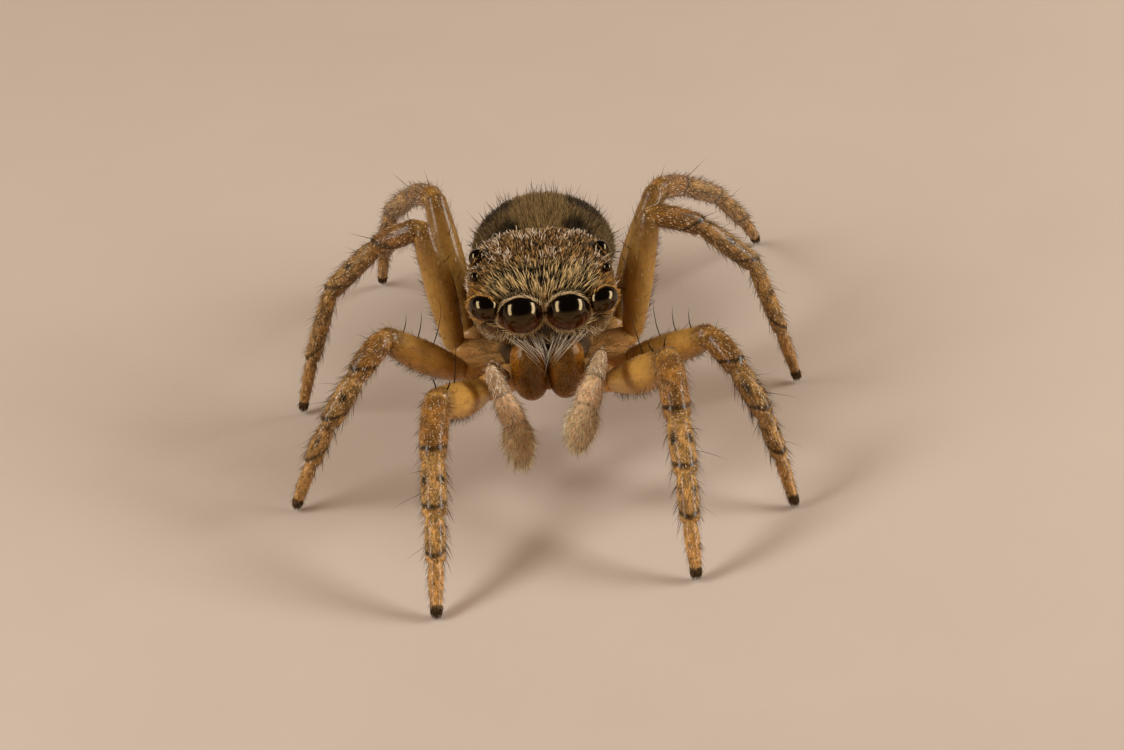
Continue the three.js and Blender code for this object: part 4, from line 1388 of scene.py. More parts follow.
# Hair on the backs of the eyes: eye, seed, count, colour and length.
SOCKETS = (
    ("anterior_median", 8, 900, "pale", 0.055),
    ("anterior_lateral", 9, 420, "orange", 0.045),
)
FACE_SEED = 100
LASH_PLACES = (
    (0.05, 0, 0.38), (0.3, 0, 0.42), (0.56, 0, 0.36), (0.64, 0.06, 0.2), (0.86, 0.1, 0.34),
    (1.03, 0.3, 0.26), (1.05, 0.5, 0.1), (0.98, 0.55, 0.42), (0.72, 0.02, -0.2), (0.95, 0.2, -0.18),
)
# The box in the head's frame that the beard points into: inwards, forwards and down.
BEARD_AIM = ((-0.03, 0.16), (-0.2, -0.08), (-0.95, -0.72))
BEARD_REACH = {"most": 1.25, "shares": (0.7, 1.05)}


def in_zone(name, side=1):
    """A density of hair from a zone of the head."""
    return lambda u, v, points: zone(name, points, side)


def head_cover(u, v, points):
    """Where scales grow on the head: not on the eyes, the bare cheeks or the underside."""
    y, z = to_head(points).T[1:]
    drop = COAT_EDGE["lower"] * smoothstep(*COAT_EDGE["back"], y)
    return clear_of_eyes(points) * smoothstep(*COAT_EDGE["up"], z + drop)


def pale_cover(u, v, points):
    """As head_cover, denser beside the big eyes, with a dark patch left between each and the next."""
    here = to_head(points)
    here[:, 0] = np.abs(here[:, 0])
    bare = np.linalg.norm(here - BARE_PATCH["place"], axis=-1) / BARE_PATCH["radius"]
    big = EYES["anterior_median"]
    rim = np.linalg.norm(here - big["centre"], axis=-1) / big["radius"]
    denser = 1 + DENSE_RIM["more"] * smoothstep(*DENSE_RIM["fade"], rim)
    return head_cover(u, v, points) * smoothstep(*BARE_PATCH["fade"], bare) * denser


def fan_flow(points):
    """Scales point away from a place in front of the face, and back along the thorax."""
    out = to_head(points) - FAN_CENTRE
    out[:, 1] = np.maximum(out[:, 1], FAN_BACK["least"]) * FAN_BACK["share"]
    out[:, 2] += FAN_RISE
    return out @ HEAD_TURN.T


def head_scales(shell):
    """The fan of fine scales over the face and crown: pale ones over dark ones."""
    pale = scatter(shell, "pale scales", pale_cover)
    pick = pale.rng.uniform(0, 1, pale.count)
    crown = smoothstep(*CROWN, to_head(pale.root)[:, 1] + CROWN_RAGGED * wobble(pale.root, 0.15, 3))
    orange = np.clip(zone("fan sides", pale.root) + 0.2 * (pick > 0.85), 0, 1)
    tone = blend(tint("scale_pale"), tint("scale_orange"), orange)
    tone = blend(tone, tint("scale_tan"), 0.8 * crown)
    darkest, more = PALE_BRIGHTNESS
    tone *= (darkest + more * pale.rng.uniform(0, 1, pale.count))[:, None]
    pale.dress(fan_flow(pale.root), tone, longer=1.15 - 0.62 * crown)

    dark = scatter(shell, "dark scales", head_cover)
    crown = smoothstep(*CROWN, to_head(dark.root)[:, 1])
    warm = np.clip(zone("warm sides", dark.root) + crown, 0, 1)
    tip = blend(tint("scale_dark"), 0.62 * tint("scale_tan"), 0.85 * warm)
    dark.dress(fan_flow(dark.root), tip, tint("scale_dark"), 1.1 - 0.6 * crown)

    flank = scatter(shell, "flank scales", in_zone("flanks"))
    flow = fan_flow(flank.root) + in_head_way((0, 0, -0.5))
    flank.dress(flow, lambda: flank.tones(0.4 * tint("scale_tan"), tint("scale_pale"), 0, 0.7, 2))
    return [pale, dark, flank]


def head_tufts(shell):
    """Paler loose hairs on the crown, and dark bristles over the head."""

    def crown(u, v, points):
        patchy = smoothstep(0.05, 0.45, wobble(points, 0.16, 8))
        return head_cover(u, v, points) * zone("crown", points) * patchy

    def brow(u, v, points):
        return head_cover(u, v, points) * zone("brow", points)

    pale = scatter(shell, "crown hair", crown)
    pale.dress(fan_flow(pale.root), lambda: pale.tones(tint("scale_white"), tint("scale_tan"), 0, 0.7))
    dark = scatter(shell, "brow bristles", brow)
    dark.dress(fan_flow(dark.root), tint("scale_dark"))
    return [pale, dark]


def eye_ring(name, side, angle):
    """An eye's way, the ways out from it and round it at angles from its top, and map places."""
    way = eye_place(name, side)[1]
    wide, tall = EYES[name]["lens"]
    outside = unit(np.cross(UP, way))
    outside = outside * np.sign(outside[0] * side)
    above = np.cross(way, outside)
    above = above * np.sign(above[2])
    over, aside = np.cos(angle)[:, None], np.sin(angle)[:, None]
    spots = 0.5 + 0.45 * np.concatenate([over, aside], 1)
    out = over * above * tall + aside * outside * wide
    return way, out, over * outside - aside * above, spots


def rim_hairs(rim, side, base_seed, tones):
    """Hairs round an eye, between two angles from its top towards the outside.

    They lie along the rim at the top and point away from it further down, where they are longer.
    """
    name, seed, count, first, last, tone, longer, outward = rim
    seed += base_seed
    rng = np.random.default_rng(seed)
    angle = np.radians(rng.uniform(first, last, count))
    way, out, around, spots = eye_ring(name, side, angle)
    share = (0.13 + 0.1 * np.cos(angle) + rng.uniform(-0.03, 0.12, count))[:, None]
    roots = np.sqrt(1 - share ** 2) * 0.985 * out + share * way
    roots = lens_middle(name, side) + EYES[name]["radius"] * roots
    hairs = Hairs(LAYERS["rim hair"], roots, unit(out + 0.3 * way), spots, seed)
    bent = around * np.sign(np.cos(angle))[:, None]
    shake = 0.13 * rng.normal(0, 1, (count, 3))
    low = (0.5 - 0.5 * np.cos(angle))[:, None]
    away = (outward + 0.3 * low) * out
    hairs.start = unit(away + 0.85 * bent + 0.3 * way + shake)
    hairs.end = unit(away + 0.8 * bent - 0.05 * way + shake)
    hairs.size(longer * (0.75 + 0.45 * low[:, 0]))
    hairs.colour(tones[tone])
    return hairs


def socket_hairs(socket, side, base_seed, tones):
    """Short hairs on the back of an eye, lying forward up to its rim."""
    name, seed, count, tone, length = socket
    seed += base_seed
    rng = np.random.default_rng(seed)
    way, out, _, spots = eye_ring(name, side, rng.uniform(0, 2 * np.pi, count))
    back = rng.uniform(-0.04, 0.65, count)[:, None]
    normal = np.sqrt(1 - back ** 2) * out - back * way
    roots = lens_middle(name, side) + EYES[name]["radius"] * 0.99 * normal
    hairs = Hairs(LAYERS["socket hair"], roots, unit(normal), spots, seed)
    shade = (0.25 + 0.75 * rng.uniform(0, 1, count) ** 0.7)[:, None]
    hairs.dress(np.tile(way, (count, 1)), tones[tone] * shade, longer=length)
    return hairs


def face_fringe(shell):
    """All the hair of the face: rims, sockets, beard, clypeus, cheeks, lashes and jaws."""
    tones = {
        "cream": blend(tint("scale_pale"), tint("scale_white"), 0.25),
        "orange": blend(tint("scale_orange"), tint("scale_pale"), 0.35),
        "pale": tint("scale_pale"),
    }
    groups = []
    for side in SIDES.values():
        seed = FACE_SEED if side > 0 else 2 * FACE_SEED
        groups += [rim_hairs(rim, side, seed, tones) for rim in RIMS]
        groups += [socket_hairs(socket, side, seed, tones) for socket in SOCKETS]
        groups += [make(shell, side, seed) for make in (beard, clypeus_hair, cheek_hair, lashes, jaw_hair)]
    return groups


def beard(shell, side, seed):
    """Long white hairs from under the big eyes that cross in front of the jaws."""
    hairs = scatter(shell, "beard", in_zone("beard", side), seed)
    rng = hairs.rng
    here = to_head(hairs.root)
    aim = np.stack([rng.uniform(*limits, hairs.count) for limits in BEARD_AIM], 1) * (-side, 1, 1)
    way = unit(aim - here)
    shake = 0.05 * rng.normal(0, 1, (hairs.count, 3))
    hairs.start = unit(way + (0, -0.4, 0.12) + shake) @ HEAD_TURN.T
    hairs.end = unit(way + (0, 0.15, -0.2) + shake) @ HEAD_TURN.T
    reach = np.minimum(np.linalg.norm(aim - here, axis=-1), BEARD_REACH["most"] * coat("beard"))
    hairs.size(reach * rng.uniform(*BEARD_REACH["shares"], hairs.count))
    hairs.colour(tint("scale_white"))
    return hairs


def clypeus_hair(shell, side, seed):
    """Shorter cream hairs under the big eyes, slanting outwards."""
    hairs = scatter(shell, "clypeus hair", in_zone("clypeus", side), seed)
    down = np.tile((0.0, -0.35, -0.7), (hairs.count, 1))
    down[:, 0] = side * (to_head(hairs.root)[:, 0] * side - 0.35) * 2.2
    hairs.dress(down @ HEAD_TURN.T, lambda: hairs.tones(tint("scale_pale"), tint("scale_white"), 0, 0.8))
    return hairs


def cheek_hair(shell, side, seed):
    """Sparse pale hairs below the side eyes, pointing down and forwards."""
    hairs = scatter(shell, "cheek hair", in_zone("cheek", side), seed)
    flow = np.tile(in_head_way((-0.35 * side, -0.2, -1)), (hairs.count, 1))
    tip = blend(tint("scale_pale"), tint("scale_white"), 0.4)
    hairs.dress(flow, tip, 0.6 * tint("scale_pale"))
    return hairs


def lashes(shell, side, seed):
    """A few long curved black bristles over the eyes and on the brow."""
    grown = scatter(shell, "lashes", head_cover, seed)
    here = to_head(grown.root)
    wanted = np.array(LASH_PLACES) * (side, 1, 1)
    nearest = [int(np.argmin(np.linalg.norm(here - place, axis=-1))) for place in wanted]
    hairs = kept(grown, np.array(nearest))
    out = unit(to_head(hairs.root) * (0.8, 0, 0.7) + (0, -0.4, 0.25))
    shake = 0.1 * hairs.rng.normal(0, 1, (hairs.count, 3))
    hairs.start = unit(out + shake) @ HEAD_TURN.T
    hairs.end = unit(out + (0, 0.1, 0.7)) @ HEAD_TURN.T
    hairs.size()
    hairs.colour(tint("scale_dark"))
    return hairs


def jaw_hair(shell, side, seed):
    """Fine short hairs on the front of a jaw, pointing down."""
    hairs = scatter(jaw_surface(side), "jaw hair", in_zone("jaw front"), seed)
    flow = np.tile(in_head_way((0, -0.1, -1)), (hairs.count, 1))
    hairs.dress(flow, lambda: hairs.tones(tint("hair_brown"), tint("scale_pale"), 0, 0.5))
    return hairs


# ---------------------------------------------------------------- the coat of the abdomen

# How dense the fur is underneath, and where along the sides it becomes full.
BELLY_DENSITY = 0.35
FLANK_EDGE = (0.1, 0.3)


def abdomen_cover(u, v, points):
    return BELLY_DENSITY + (1 - BELLY_DENSITY) * smoothstep(*FLANK_EDGE, np.minimum(u, 1 - u))


def abdomen_hairs(egg):
    """Short fur in the skin's pattern, and longer bristles through it."""
    fur = scatter(egg, "abdomen fur", abdomen_cover)
    share = abdomen_tone(fur.u, fur.v, fur.root) + fur.rng.normal(0, 0.22, fur.count)
    tone = blend(0.7 * tint("abdomen_dark"), 1.3 * tint("abdomen_pale"), np.clip(share, 0, 1))
    fur.dress(fur.along, tone)
    bristles = scatter(egg, "abdomen bristles", abdomen_cover)
    bristles.dress(bristles.along, tint("hair_brown"))
    return [fur, bristles]


# ---------------------------------------------------------------- the coats of the limbs

# Where a limb's layers grow: from which share of its length on, and how dense on each segment.
LIMB_COVER = {
    "leg hair": (0.01, (0.5, 0.3, 1.0, 1.4, 1.6, 1.7)),
    "golden hair": (0.05, (0.6, 0.8, 1.2, 1.3, 1.6, 1.8)),
    "leg scales": (0.03, (0.1, 0.25, 2.2, 1.6, 1.0, 0.6)),
    "thigh fringe": (0.12, (0.3, 1.6, 0.3, 0, 0, 0)),
    "palp hair": (0.1, (0.3, 0.8, 1.1, 2.2)),
    "palp scales": (0.2, (0.9, 2.4, 1.2, 0.2)),
    "palp edge": (0.25, (0.2, 0.7, 1.3, 1.8)),
}
LIMB_END = 0.995

# Spines as (segment, share along it, place round it, length, thickness, lift, droop). The place
# runs from 0 underneath over 0.25 on the side that faces forwards to 0.5 on top.
BACK_SPINES = (
    (FEMUR, 0.4, 0.5, 0.38, 0.015, 70, 0.3), (FEMUR, 0.72, 0.52, 0.34, 0.015, 68, 0.3),
)
THIGH_SPINES = {
    1: (
        (FEMUR, 0.62, 0.5, 0.8, 0.021, 84, 0.08), (FEMUR, 0.9, 0.43, 0.32, 0.028, 84, 0.95),
        (FEMUR, 0.95, 0.53, 0.3, 0.028, 84, 0.95),
    ),
    2: (
        (FEMUR, 0.45, 0.5, 0.6, 0.018, 82, 0.35), (FEMUR, 0.65, 0.5, 0.46, 0.02, 82, 0.4),
        (FEMUR, 0.83, 0.5, 0.3, 0.02, 80, 0.4), (PATELLA, 0.27, 0.5, 0.4, 0.009, 66, 0.2),
    ),
    3: BACK_SPINES,
    4: BACK_SPINES,
}
WHISKERS = (
    (PATELLA, 0.12, 0.5, 0.34, 0.008, 68, 0.25), (PATELLA, 0.9, 0.42, 0.5, 0.011, 66, 0.1),
    (TIBIA, 0.3, 0.62, 0.38, 0.0075, 62, 0.25), (TIBIA, 0.62, 0.74, 0.52, 0.008, 68, 0.25),
    (METATARSUS, 0.35, 0.45, 0.36, 0.007, 64, 0.25), (METATARSUS, 0.7, 0.7, 0.34, 0.007, 60, 0.25),
)
SHANK_ROWS = ((TIBIA, (0.15, 0.45, 0.78), 0.29), (METATARSUS, (0.12, 0.5, 0.82), 0.27))
SHANK_SPINES = tuple(
    (segment, share + shift, place, length, 0.011, 27, 0.4)
    for segment, shares, length in SHANK_ROWS
    for share in shares
    for shift, place in ((0.0, 0.1), (0.05, 0.9), (0.1, 0.22))
)
# Seeds of the draws on each leg and its two sides, and on the palps. Spines add their own.
LEG_SEEDS = {"each": 1000, "right": 500}
PALP_SEEDS = {"left": 6000, "right": 6500}
SPINE_SEEDS = {"thigh": 4, "whiskers": 5, "shank": 6}
# How long the fine hair is on the foot beside the rest of the leg, and how far from the
# underside the thigh's fringe grows (as a share of the way round).
FOOT_HAIR = 0.62
FRINGE_REACH = 0.13
# How far from the tip the claw tuft's roots lie.
TUFT_PLACES = (0.002, 0.12)
# How bright and long the fine hair is on each segment of a palp. The tarsus's hair is brightest partly as
# painted light, since it faces down and gets less light.
PALP_HAIR_TONES = np.array((0.45, 0.8, 1.1, 1.4))
PALP_HAIR_LENGTHS = np.array((0.4, 0.45, 0.62, 0.8))


def along_limb(tube, name, seed):
    """A layer's roots all round a limb."""
    first, weights = LIMB_COVER[name]

    def density(u, v, points):
        return np.array(weights)[tube.where(v)[0]] * (v > first) * (v < LIMB_END)

    return scatter(tube, name, density, seed, LIMB_CELLS)


def spikes_at(tube, side, spikes, seed, tone, longer):
    """Separate spines of a limb, from a table of their places and sizes."""
    segment, share, place, length, thickness, lift, droop = np.array(spikes).T
    segment = segment.astype(int)
    v = (tube.ends[segment] + tube.steps[segment] * share) / tube.length
    u = place if side > 0 else 1 - place
    hairs = roots_at(tube, LAYERS["spines"], u % 1, v, seed)
    hairs.lie(hairs.along, lift, droop)
    hairs.size(length * longer, thickness)
    hairs.colour(tone)
    return hairs


def leg_hairs(tube, number, side_name):
    """The coat of a leg: fine hair, scales, a fringe under the thigh, spines and the claw tuft."""
    side = SIDES[side_name]
    seed = LEG_SEEDS["each"] * number + (0 if side > 0 else LEG_SEEDS["right"])
    scale = LEG_THICKNESS[number]
    brown = tint("hair_brown")
    fine = along_limb(tube, "leg hair", seed)
    longer = np.where(tube.where(fine.v)[0] >= TARSUS, FOOT_HAIR, 1.0) * scale
    fine.dress(fine.along, 1.5 * brown, 0.8 * brown, longer)
    golden = along_limb(tube, "golden hair", seed)
    golden.dress(golden.along, 1.1 * tint("shank"), 0.6 * tint("shank"))
    pale = along_limb(tube, "leg scales", seed)
    pale.dress(pale.along, pale.tones(tint("scale_orange"), tint("scale_white"), 0.3))
    fringe = along_limb(tube, "thigh fringe", seed)
    fringe = kept(fringe, np.minimum(fringe.u, 1 - fringe.u) < FRINGE_REACH)
    fringe.dress(fringe.along, 0.8 * brown, longer=scale)
    rows = (
        ("thigh", THIGH_SPINES[number], tint("scale_dark"), 1.0),
        ("whiskers", WHISKERS, tint("scale_dark"), scale),
        ("shank", SHANK_SPINES, 0.7 * brown, scale),
    )
    spines = [
        spikes_at(tube, side, table, seed + SPINE_SEEDS[name], tone, coat("spine") * longer)
        for name, table, tone, longer in rows
    ]
    return [fine, golden, pale, fringe, *spines, claw_tuft(tube, seed)]


def claw_tuft(tube, seed):
    """The dense dark brush under the claws, down to the floor."""
    layer = LAYERS["claw tuft"]
    seed += layer.seed
    rng = np.random.default_rng(seed)
    u = rng.uniform(0, 1, layer.count)
    back = rng.uniform(*TUFT_PLACES, layer.count)
    hairs = roots_at(tube, layer, u, 1 - back / tube.length, seed)
    forward = tube.way[-1]
    shake = rng.normal(0, 1, (layer.count, 3))
    hairs.start = unit(hairs.normal * 0.2 + forward * 0.9 - 0.25 * UP + 0.12 * shake)
    hairs.end = unit(forward * 0.7 - 0.8 * UP - 0.25 * hairs.normal + 0.12 * shake)
    hairs.size()
    tuft = tint("tuft")
    hairs.colour(blend(0.6 * tuft, 2.2 * tuft, rng.uniform(0, 1, layer.count) ** 2))
    return hairs


def palp_hairs(tube, side_name):
    """The coat of a palp: pale fine hair, white scales and a darker outer edge."""
    seed = PALP_SEEDS[side_name]
    white = tint("scale_white")
    pale = blend(tint("palp"), white, 0.3)
    fine = along_limb(tube, "palp hair", seed)
    segment = tube.where(fine.v)[0]
    tone = fine.tones(0.6 * pale, 1.2 * pale) * PALP_HAIR_TONES[segment][:, None]
    fine.dress(fine.along, np.minimum(tone, 1), longer=PALP_HAIR_LENGTHS[segment])
    bright = along_limb(tube, "palp scales", seed)
    bright.dress(bright.along, 1.1 * white, 0.9 * white)
    edge = along_limb(tube, "palp edge", seed)
    edge.dress(edge.along, 0.7 * pale, tint("hair_brown"))
    return [fine, bright, edge]


def claws(tube):
    """Two small curved claws at a leg's tip."""
    forward = unit(tube.way[-1] * (1, 1, 0))
    aside = np.cross(UP, forward)
    start = tube.line[-1] - tube.way[-1] * CLAW["back"] + UP * CLAW["up"]
    pair = []
    for spread in (-1, 1):
        joints = [start + aside * CLAW["apart"] * spread]
        for ahead, rise in (CLAW["bend"], CLAW["point"]):
            joints.append(joints[-1] + forward * ahead + UP * rise)
        joints[-1][2] = max(joints[-1][2], CLAW["lowest"])
        pair.append(Tube(joints, CLAW["thick"], neck=0))
    return pair


# ---------------------------------------------------------------- operators

class SPIDER_OT_head(bpy.types.Operator):
    """Makes the skin of the head and thorax"""

    bl_idname = "spider.head"
    bl_label = "Head skin"

    def execute(self, context):
        sheet = sheet_over(Shell(coat("head_depth")), GRIDS["head"], paint_shell)
        skin_piece("head_skin", [sheet], cuticle("Head skin"), ["carapace"])
        return {"FINISHED"}


class SPIDER_OT_underside(bpy.types.Operator):
    """Makes the breastplate and the waist"""

    bl_idname = "spider.underside"
    bl_label = "Underside"

    def execute(self, context):
        half = np.array(STERNUM_SIZE) - STERNUM_INSET
        plate = Ball(from_head(STERNUM_CENTRE), half, in_head_way((0, 1, 0)))
        waist_end = SPIDER_ORIGIN + np.array(ABDOMEN["centre"]) + np.array(WAIST_TO)
        waist = rod(from_head(WAIST_FROM), waist_end, *WAIST_THICK)
        sheets = [
            sheet_over(plate, GRIDS["sternum"], paint_breast, STERNUM_PATCH),
            sheet_over(waist, GRIDS["waist"], paint_plain("belly"), WAIST_PATCH),
        ]
        nodes = ["sternum_with_coxae", "pedicel"]
        skin_piece("underside", sheets, cuticle("Underside skin"), nodes)
        return {"FINISHED"}


class SPIDER_OT_mouth(bpy.types.Operator):
    """Makes the lip and the two maxillae behind the jaws"""

    bl_idname = "spider.mouth"
    bl_label = "Mouthparts"

    def execute(self, context):
        rods = [head_rod(*LIP)] + [head_rod(*MAXILLA, side) for side in SIDES.values()]
        sheets = strips(rods, "mouth", paint_plain("jaw_edge", 0.9))
        skin_piece("mouthparts_skin", sheets, cuticle("Mouth shell"), ["mouthparts"])
        return {"FINISHED"}


class SPIDER_OT_jaws(bpy.types.Operator):
    """Makes the two chelicerae with their folded fangs"""

    bl_idname = "spider.jaws"
    bl_label = "Chelicerae"

    def execute(self, context):
        material = cuticle("Jaw shell")
        for side_name, side in SIDES.items():
            trunk = sheet_over(jaw_surface(side), GRIDS["jaw"], paint_jaw(side), JAW_PATCH)
            end = np.array(FANG["place"]) + np.array(FANG["way"]) * FANG["length"]
            fang = head_rod(FANG["place"], end, FANG["thick"], side)
            fang = sheet_over(fang, GRIDS["fang"], paint_plain("jaw", 0.6), FANG_PATCH)
            node = f"chelicera_{side_name}"
            skin_piece(f"{node}_skin", [trunk, fang], material, [node])
        return {"FINISHED"}


class SPIDER_OT_eyes(bpy.types.Operator):
    """Makes the eight glossy eyes"""

    bl_idname = "spider.eyes"
    bl_label = "Eyes"

    def execute(self, context):
        material = lens_finish("Lens")
        for side_name, side in SIDES.items():
            for kind, eye in EYES.items():
                centre, way = eye_place(kind, side)
                wide, tall = eye["lens"]
                half = (eye["radius"] - LENS_INSET) * np.array([wide, 1, tall])
                ball = Ball(lens_middle(kind, side), half, way)
                grid = (eye["around"], eye["around"] // 2)
                sheet = sheet_over(ball, grid, paint_lens(centre, way, eye["glow"]))
                node = f"eye_{kind}_{side_name}"
                skin_piece(f"{node}_lens", [sheet], material, [node])
        return {"FINISHED"}


class SPIDER_OT_abdomen(bpy.types.Operator):
    """Makes the skin of the abdomen and the spinnerets"""

    bl_idname = "spider.abdomen"
    bl_label = "Abdomen skin"

    def execute(self, context):
        egg = Egg(coat("abdomen_depth"))
        sheet = sheet_over(egg, GRIDS["abdomen"], paint_abdomen)
        skin_piece("abdomen_skin", [sheet], cuticle("Abdomen skin"), ["abdomen"])
        back = ABDOMEN["length"] / 2 - SPINNERET["sunk"]
        cones = []
        for side in SIDES.values():
            for level in SPINNERET["levels"]:
                start = np.array([side * SPINNERET["apart"], back, level])
                end = start + np.array([side * SPINNERET["splay"], SPINNERET["length"], 0])
                cones.append(rod(egg.place(start), egg.place(end), *SPINNERET["thick"]))
        sheets = strips(cones, "spinneret", paint_plain("abdomen_pale", 0.8))
        skin_piece("spinnerets_skin", sheets, cuticle("Spinneret skin"), ["spinnerets"])
        return {"FINISHED"}


class SPIDER_OT_legs(bpy.types.Operator):
    """Makes the skins of the eight legs, each in one piece from the coxa to the toe"""

    bl_idname = "spider.legs"
    bl_label = "Leg skins"

    def execute(self, context):
        material = leg_finish("Leg skin")
        tips = []
        for number, side_name in LEGS:
            tube = leg_tube(number, side_name)
            sheet = sheet_over(tube, GRIDS["leg"], paint_leg(tube, number))
            leg = f"leg_{number}_{side_name}"
            nodes = [f"{leg}_{segment}" for segment in LEG_SEGMENTS]
            skin_piece(f"{leg}_skin", [sheet], material, nodes)
            tips += claws(tube)
        sheets = strips(tips, "claw", paint_plain("scale_dark", 1.6))
        skin_piece("claws", sheets, hair_finish("Claw", 0.3))
        return {"FINISHED"}


class SPIDER_OT_palps(bpy.types.Operator):
    """Makes the skins of the two palps"""

    bl_idname = "spider.palps"
    bl_label = "Palp skins"

    def execute(self, context):
        material = cuticle("Palp skin")
        for side_name in SIDES:
            tube = palp_tube(side_name)
            sheet = sheet_over(tube, GRIDS["palp"], paint_palp(tube))
            palp = f"palp_{side_name}"
            skin_piece(f"{palp}_skin", [sheet], material, [f"{palp}_arm", f"{palp}_tarsus"])
        return {"FINISHED"}


class SPIDER_OT_head_coat(bpy.types.Operator):
    """Grows the scales, tufts, rims and beard of the head"""

    bl_idname = "spider.head_coat"
    bl_label = "Head coat"

    def execute(self, context):
        material = hair_finish("Head hair")
        shell = Shell(coat("head_depth"))
        coat_piece("head_scales", head_scales(shell), material)
        coat_piece("head_tufts", head_tufts(shell), material)
        coat_piece("face_fringe", face_fringe(shell), material)
        return {"FINISHED"}


class SPIDER_OT_abdomen_coat(bpy.types.Operator):
    """Grows the hair of the abdomen"""

    bl_idname = "spider.abdomen_coat"
    bl_label = "Abdomen coat"

    def execute(self, context):
        groups = abdomen_hairs(Egg(coat("abdomen_depth")))
        coat_piece("abdomen_hair", groups, hair_finish("Abdomen fur", 0.5))
        return {"FINISHED"}


class SPIDER_OT_leg_coats(bpy.types.Operator):
    """Grows the hair, spines and claw tufts of the legs"""

    bl_idname = "spider.leg_coats"
    bl_label = "Leg coats"

    def execute(self, context):
        material = hair_finish("Leg hair")
        for number, side_name in LEGS:
            groups = leg_hairs(leg_tube(number, side_name), number, side_name)
            coat_piece(f"leg_{number}_{side_name}_hair", groups, material)
        return {"FINISHED"}


class SPIDER_OT_palp_coats(bpy.types.Operator):
    """Grows the hair of the palps"""

    bl_idname = "spider.palp_coats"
    bl_label = "Palp coats"

    def execute(self, context):
        material = hair_finish("Palp hair", 0.5)
        for side_name in SIDES:
            groups = palp_hairs(palp_tube(side_name), side_name)
            coat_piece(f"palp_{side_name}_hair", groups, material)
        return {"FINISHED"}


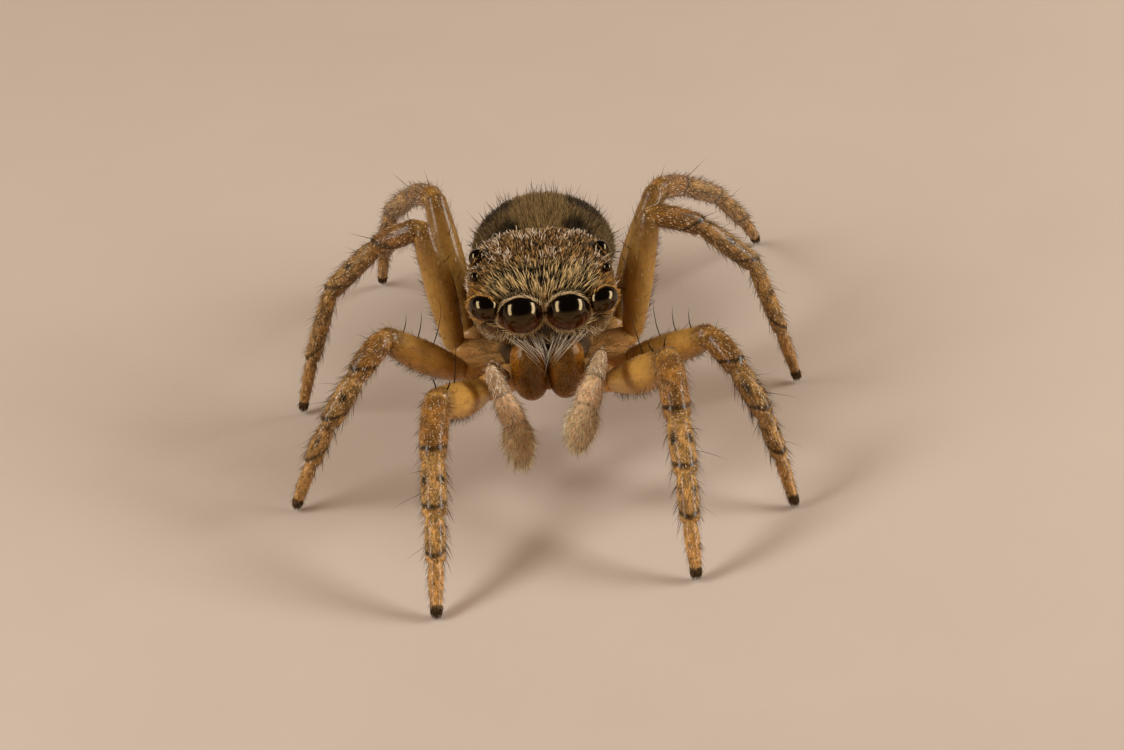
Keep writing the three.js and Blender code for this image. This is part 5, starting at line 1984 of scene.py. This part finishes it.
class SPIDER_OT_stage(bpy.types.Operator):
    """Makes the floor, the lights, the world and the camera"""

    bl_idname = "spider.stage"
    bl_label = "Stage"

    def execute(self, context):
        scene = bpy.context.scene
        tone = tint("floor")
        ground = bmesh.new()
        bmesh.ops.create_circle(ground, cap_ends=True, segments=96, radius=STAGE_RADIUS * MM)
        mesh = bpy.data.meshes.new("floor")
        ground.to_mesh(mesh)
        ground.free()
        floor = bpy.data.objects.new("floor", mesh)
        scene.collection.objects.link(floor)
        mesh.materials.append(floor_finish("Floor", tone))
        self.make_lights(scene)
        self.make_world(scene, tone)
        self.make_camera(scene)
        scene.view_settings.view_transform = "Standard"
        return {"FINISHED"}

    def make_lights(self, scene):
        for name, (way, long_side, width, height, power) in SOFTBOXES.items():
            light = bpy.data.lights.new(name, "AREA")
            light.shape = "RECTANGLE"
            light.size = width * MM
            light.size_y = height * MM
            light.energy = power
            light.color = LAMP_COLOUR
            lamp = bpy.data.objects.new(name, light)
            scene.collection.objects.link(lamp)
            back = unit(np.array(way))
            across = unit(np.cross(long_side, back))
            place = HEAD_ORIGIN + back * SOFTBOX_DISTANCE
            lamp.matrix_world = placed(across, np.cross(back, across), back, place)

    def make_world(self, scene, tone):
        world = bpy.data.worlds.new("Studio")
        scene.world = world
        world.use_nodes = True
        tree = world.node_tree
        fill = tree.nodes["Background"]
        set_inputs(fill, {"Color": (*FILL_COLOUR, 1), "Strength": FILL_STRENGTH})
        seen = added(tree, "ShaderNodeBackground", None, [("Color", self.backdrop(tree, tone))])
        rays = tree.nodes.new("ShaderNodeLightPath")
        share = rays.outputs["Is Camera Ray"]
        for kind in ("Is Glossy Ray", "Is Transmission Ray"):
            links = [(0, share), (1, rays.outputs[kind])]
            share = added(tree, "ShaderNodeMath", None, links, "MAXIMUM").outputs["Value"]
        links = [("Fac", share), (1, fill.outputs["Background"]), (2, seen.outputs["Background"])]
        mixed = added(tree, "ShaderNodeMixShader", None, links)
        tree.links.new(mixed.outputs["Shader"], tree.nodes["World Output"].inputs["Surface"])

    def backdrop(self, tree, tone):
        """The room as it is seen: pale at the horizon and dark above."""
        way = tree.nodes.new("ShaderNodeTexCoord").outputs["Generated"]
        parts = added(tree, "ShaderNodeSeparateXYZ", None, [("Vector", way)])
        high = ranged(tree, parts.outputs["Z"], BACKDROP_RISE, (0, 1))
        return mixed_colours(tree, high, tone, BACKDROP_TOP * tone)

    def make_camera(self, scene):
        pitch = math.radians(CAMERA["pitch"])
        roll = math.radians(CAMERA["roll"])
        ahead = np.array([0, math.cos(pitch), -math.sin(pitch)])
        level = np.array([1.0, 0, 0])
        over = np.array([0, math.sin(pitch), math.cos(pitch)])
        right = level * math.cos(roll) - over * math.sin(roll)
        above = level * math.sin(roll) + over * math.cos(roll)
        aside, lift = CAMERA["offset"]
        place = HEAD_ORIGIN - ahead * CAMERA["distance"] - right * aside - above * lift
        data = bpy.data.cameras.new("Camera")
        data.sensor_width = CAMERA_SENSOR
        data.lens = CAMERA["lens"]
        data.clip_start, data.clip_end = CAMERA_CLIP
        camera = bpy.data.objects.new("Camera", data)
        scene.collection.objects.link(camera)
        camera.matrix_world = placed(right, above, -ahead, place)
        scene.camera = camera


PIECES = (
    SPIDER_OT_head, SPIDER_OT_underside, SPIDER_OT_mouth, SPIDER_OT_jaws, SPIDER_OT_eyes,
    SPIDER_OT_abdomen, SPIDER_OT_legs, SPIDER_OT_palps, SPIDER_OT_head_coat, SPIDER_OT_abdomen_coat,
    SPIDER_OT_leg_coats, SPIDER_OT_palp_coats, SPIDER_OT_stage,
)


class SPIDER_PT_pieces(bpy.types.Panel):
    """The pieces, with the colours and lengths they are made from"""

    bl_idname = "SPIDER_PT_pieces"
    bl_label = "Jumping Spider"
    bl_space_type = "VIEW_3D"
    bl_region_type = "UI"
    bl_category = "Spider"

    def draw(self, context):
        layout = self.layout
        for group in (context.scene.spider_colours, context.scene.spider_coat):
            box = layout.box()
            for name in group.__annotations__:
                box.prop(group, name)
        for piece in PIECES:
            layout.operator(piece.bl_idname)


CLASSES = (SpiderColours, SpiderCoat, *PIECES, SPIDER_PT_pieces)


def register():
    for each in CLASSES:
        bpy.utils.register_class(each)
    bpy.types.Scene.spider_colours = bpy.props.PointerProperty(type=SpiderColours)
    bpy.types.Scene.spider_coat = bpy.props.PointerProperty(type=SpiderCoat)


def unregister():
    del bpy.types.Scene.spider_coat
    del bpy.types.Scene.spider_colours
    for each in reversed(CLASSES):
        bpy.utils.unregister_class(each)


def main():
    register()
    for piece in PIECES:
        group, name = piece.bl_idname.split(".")
        getattr(getattr(bpy.ops, group), name)()


if __name__ == "__main__":
    main()
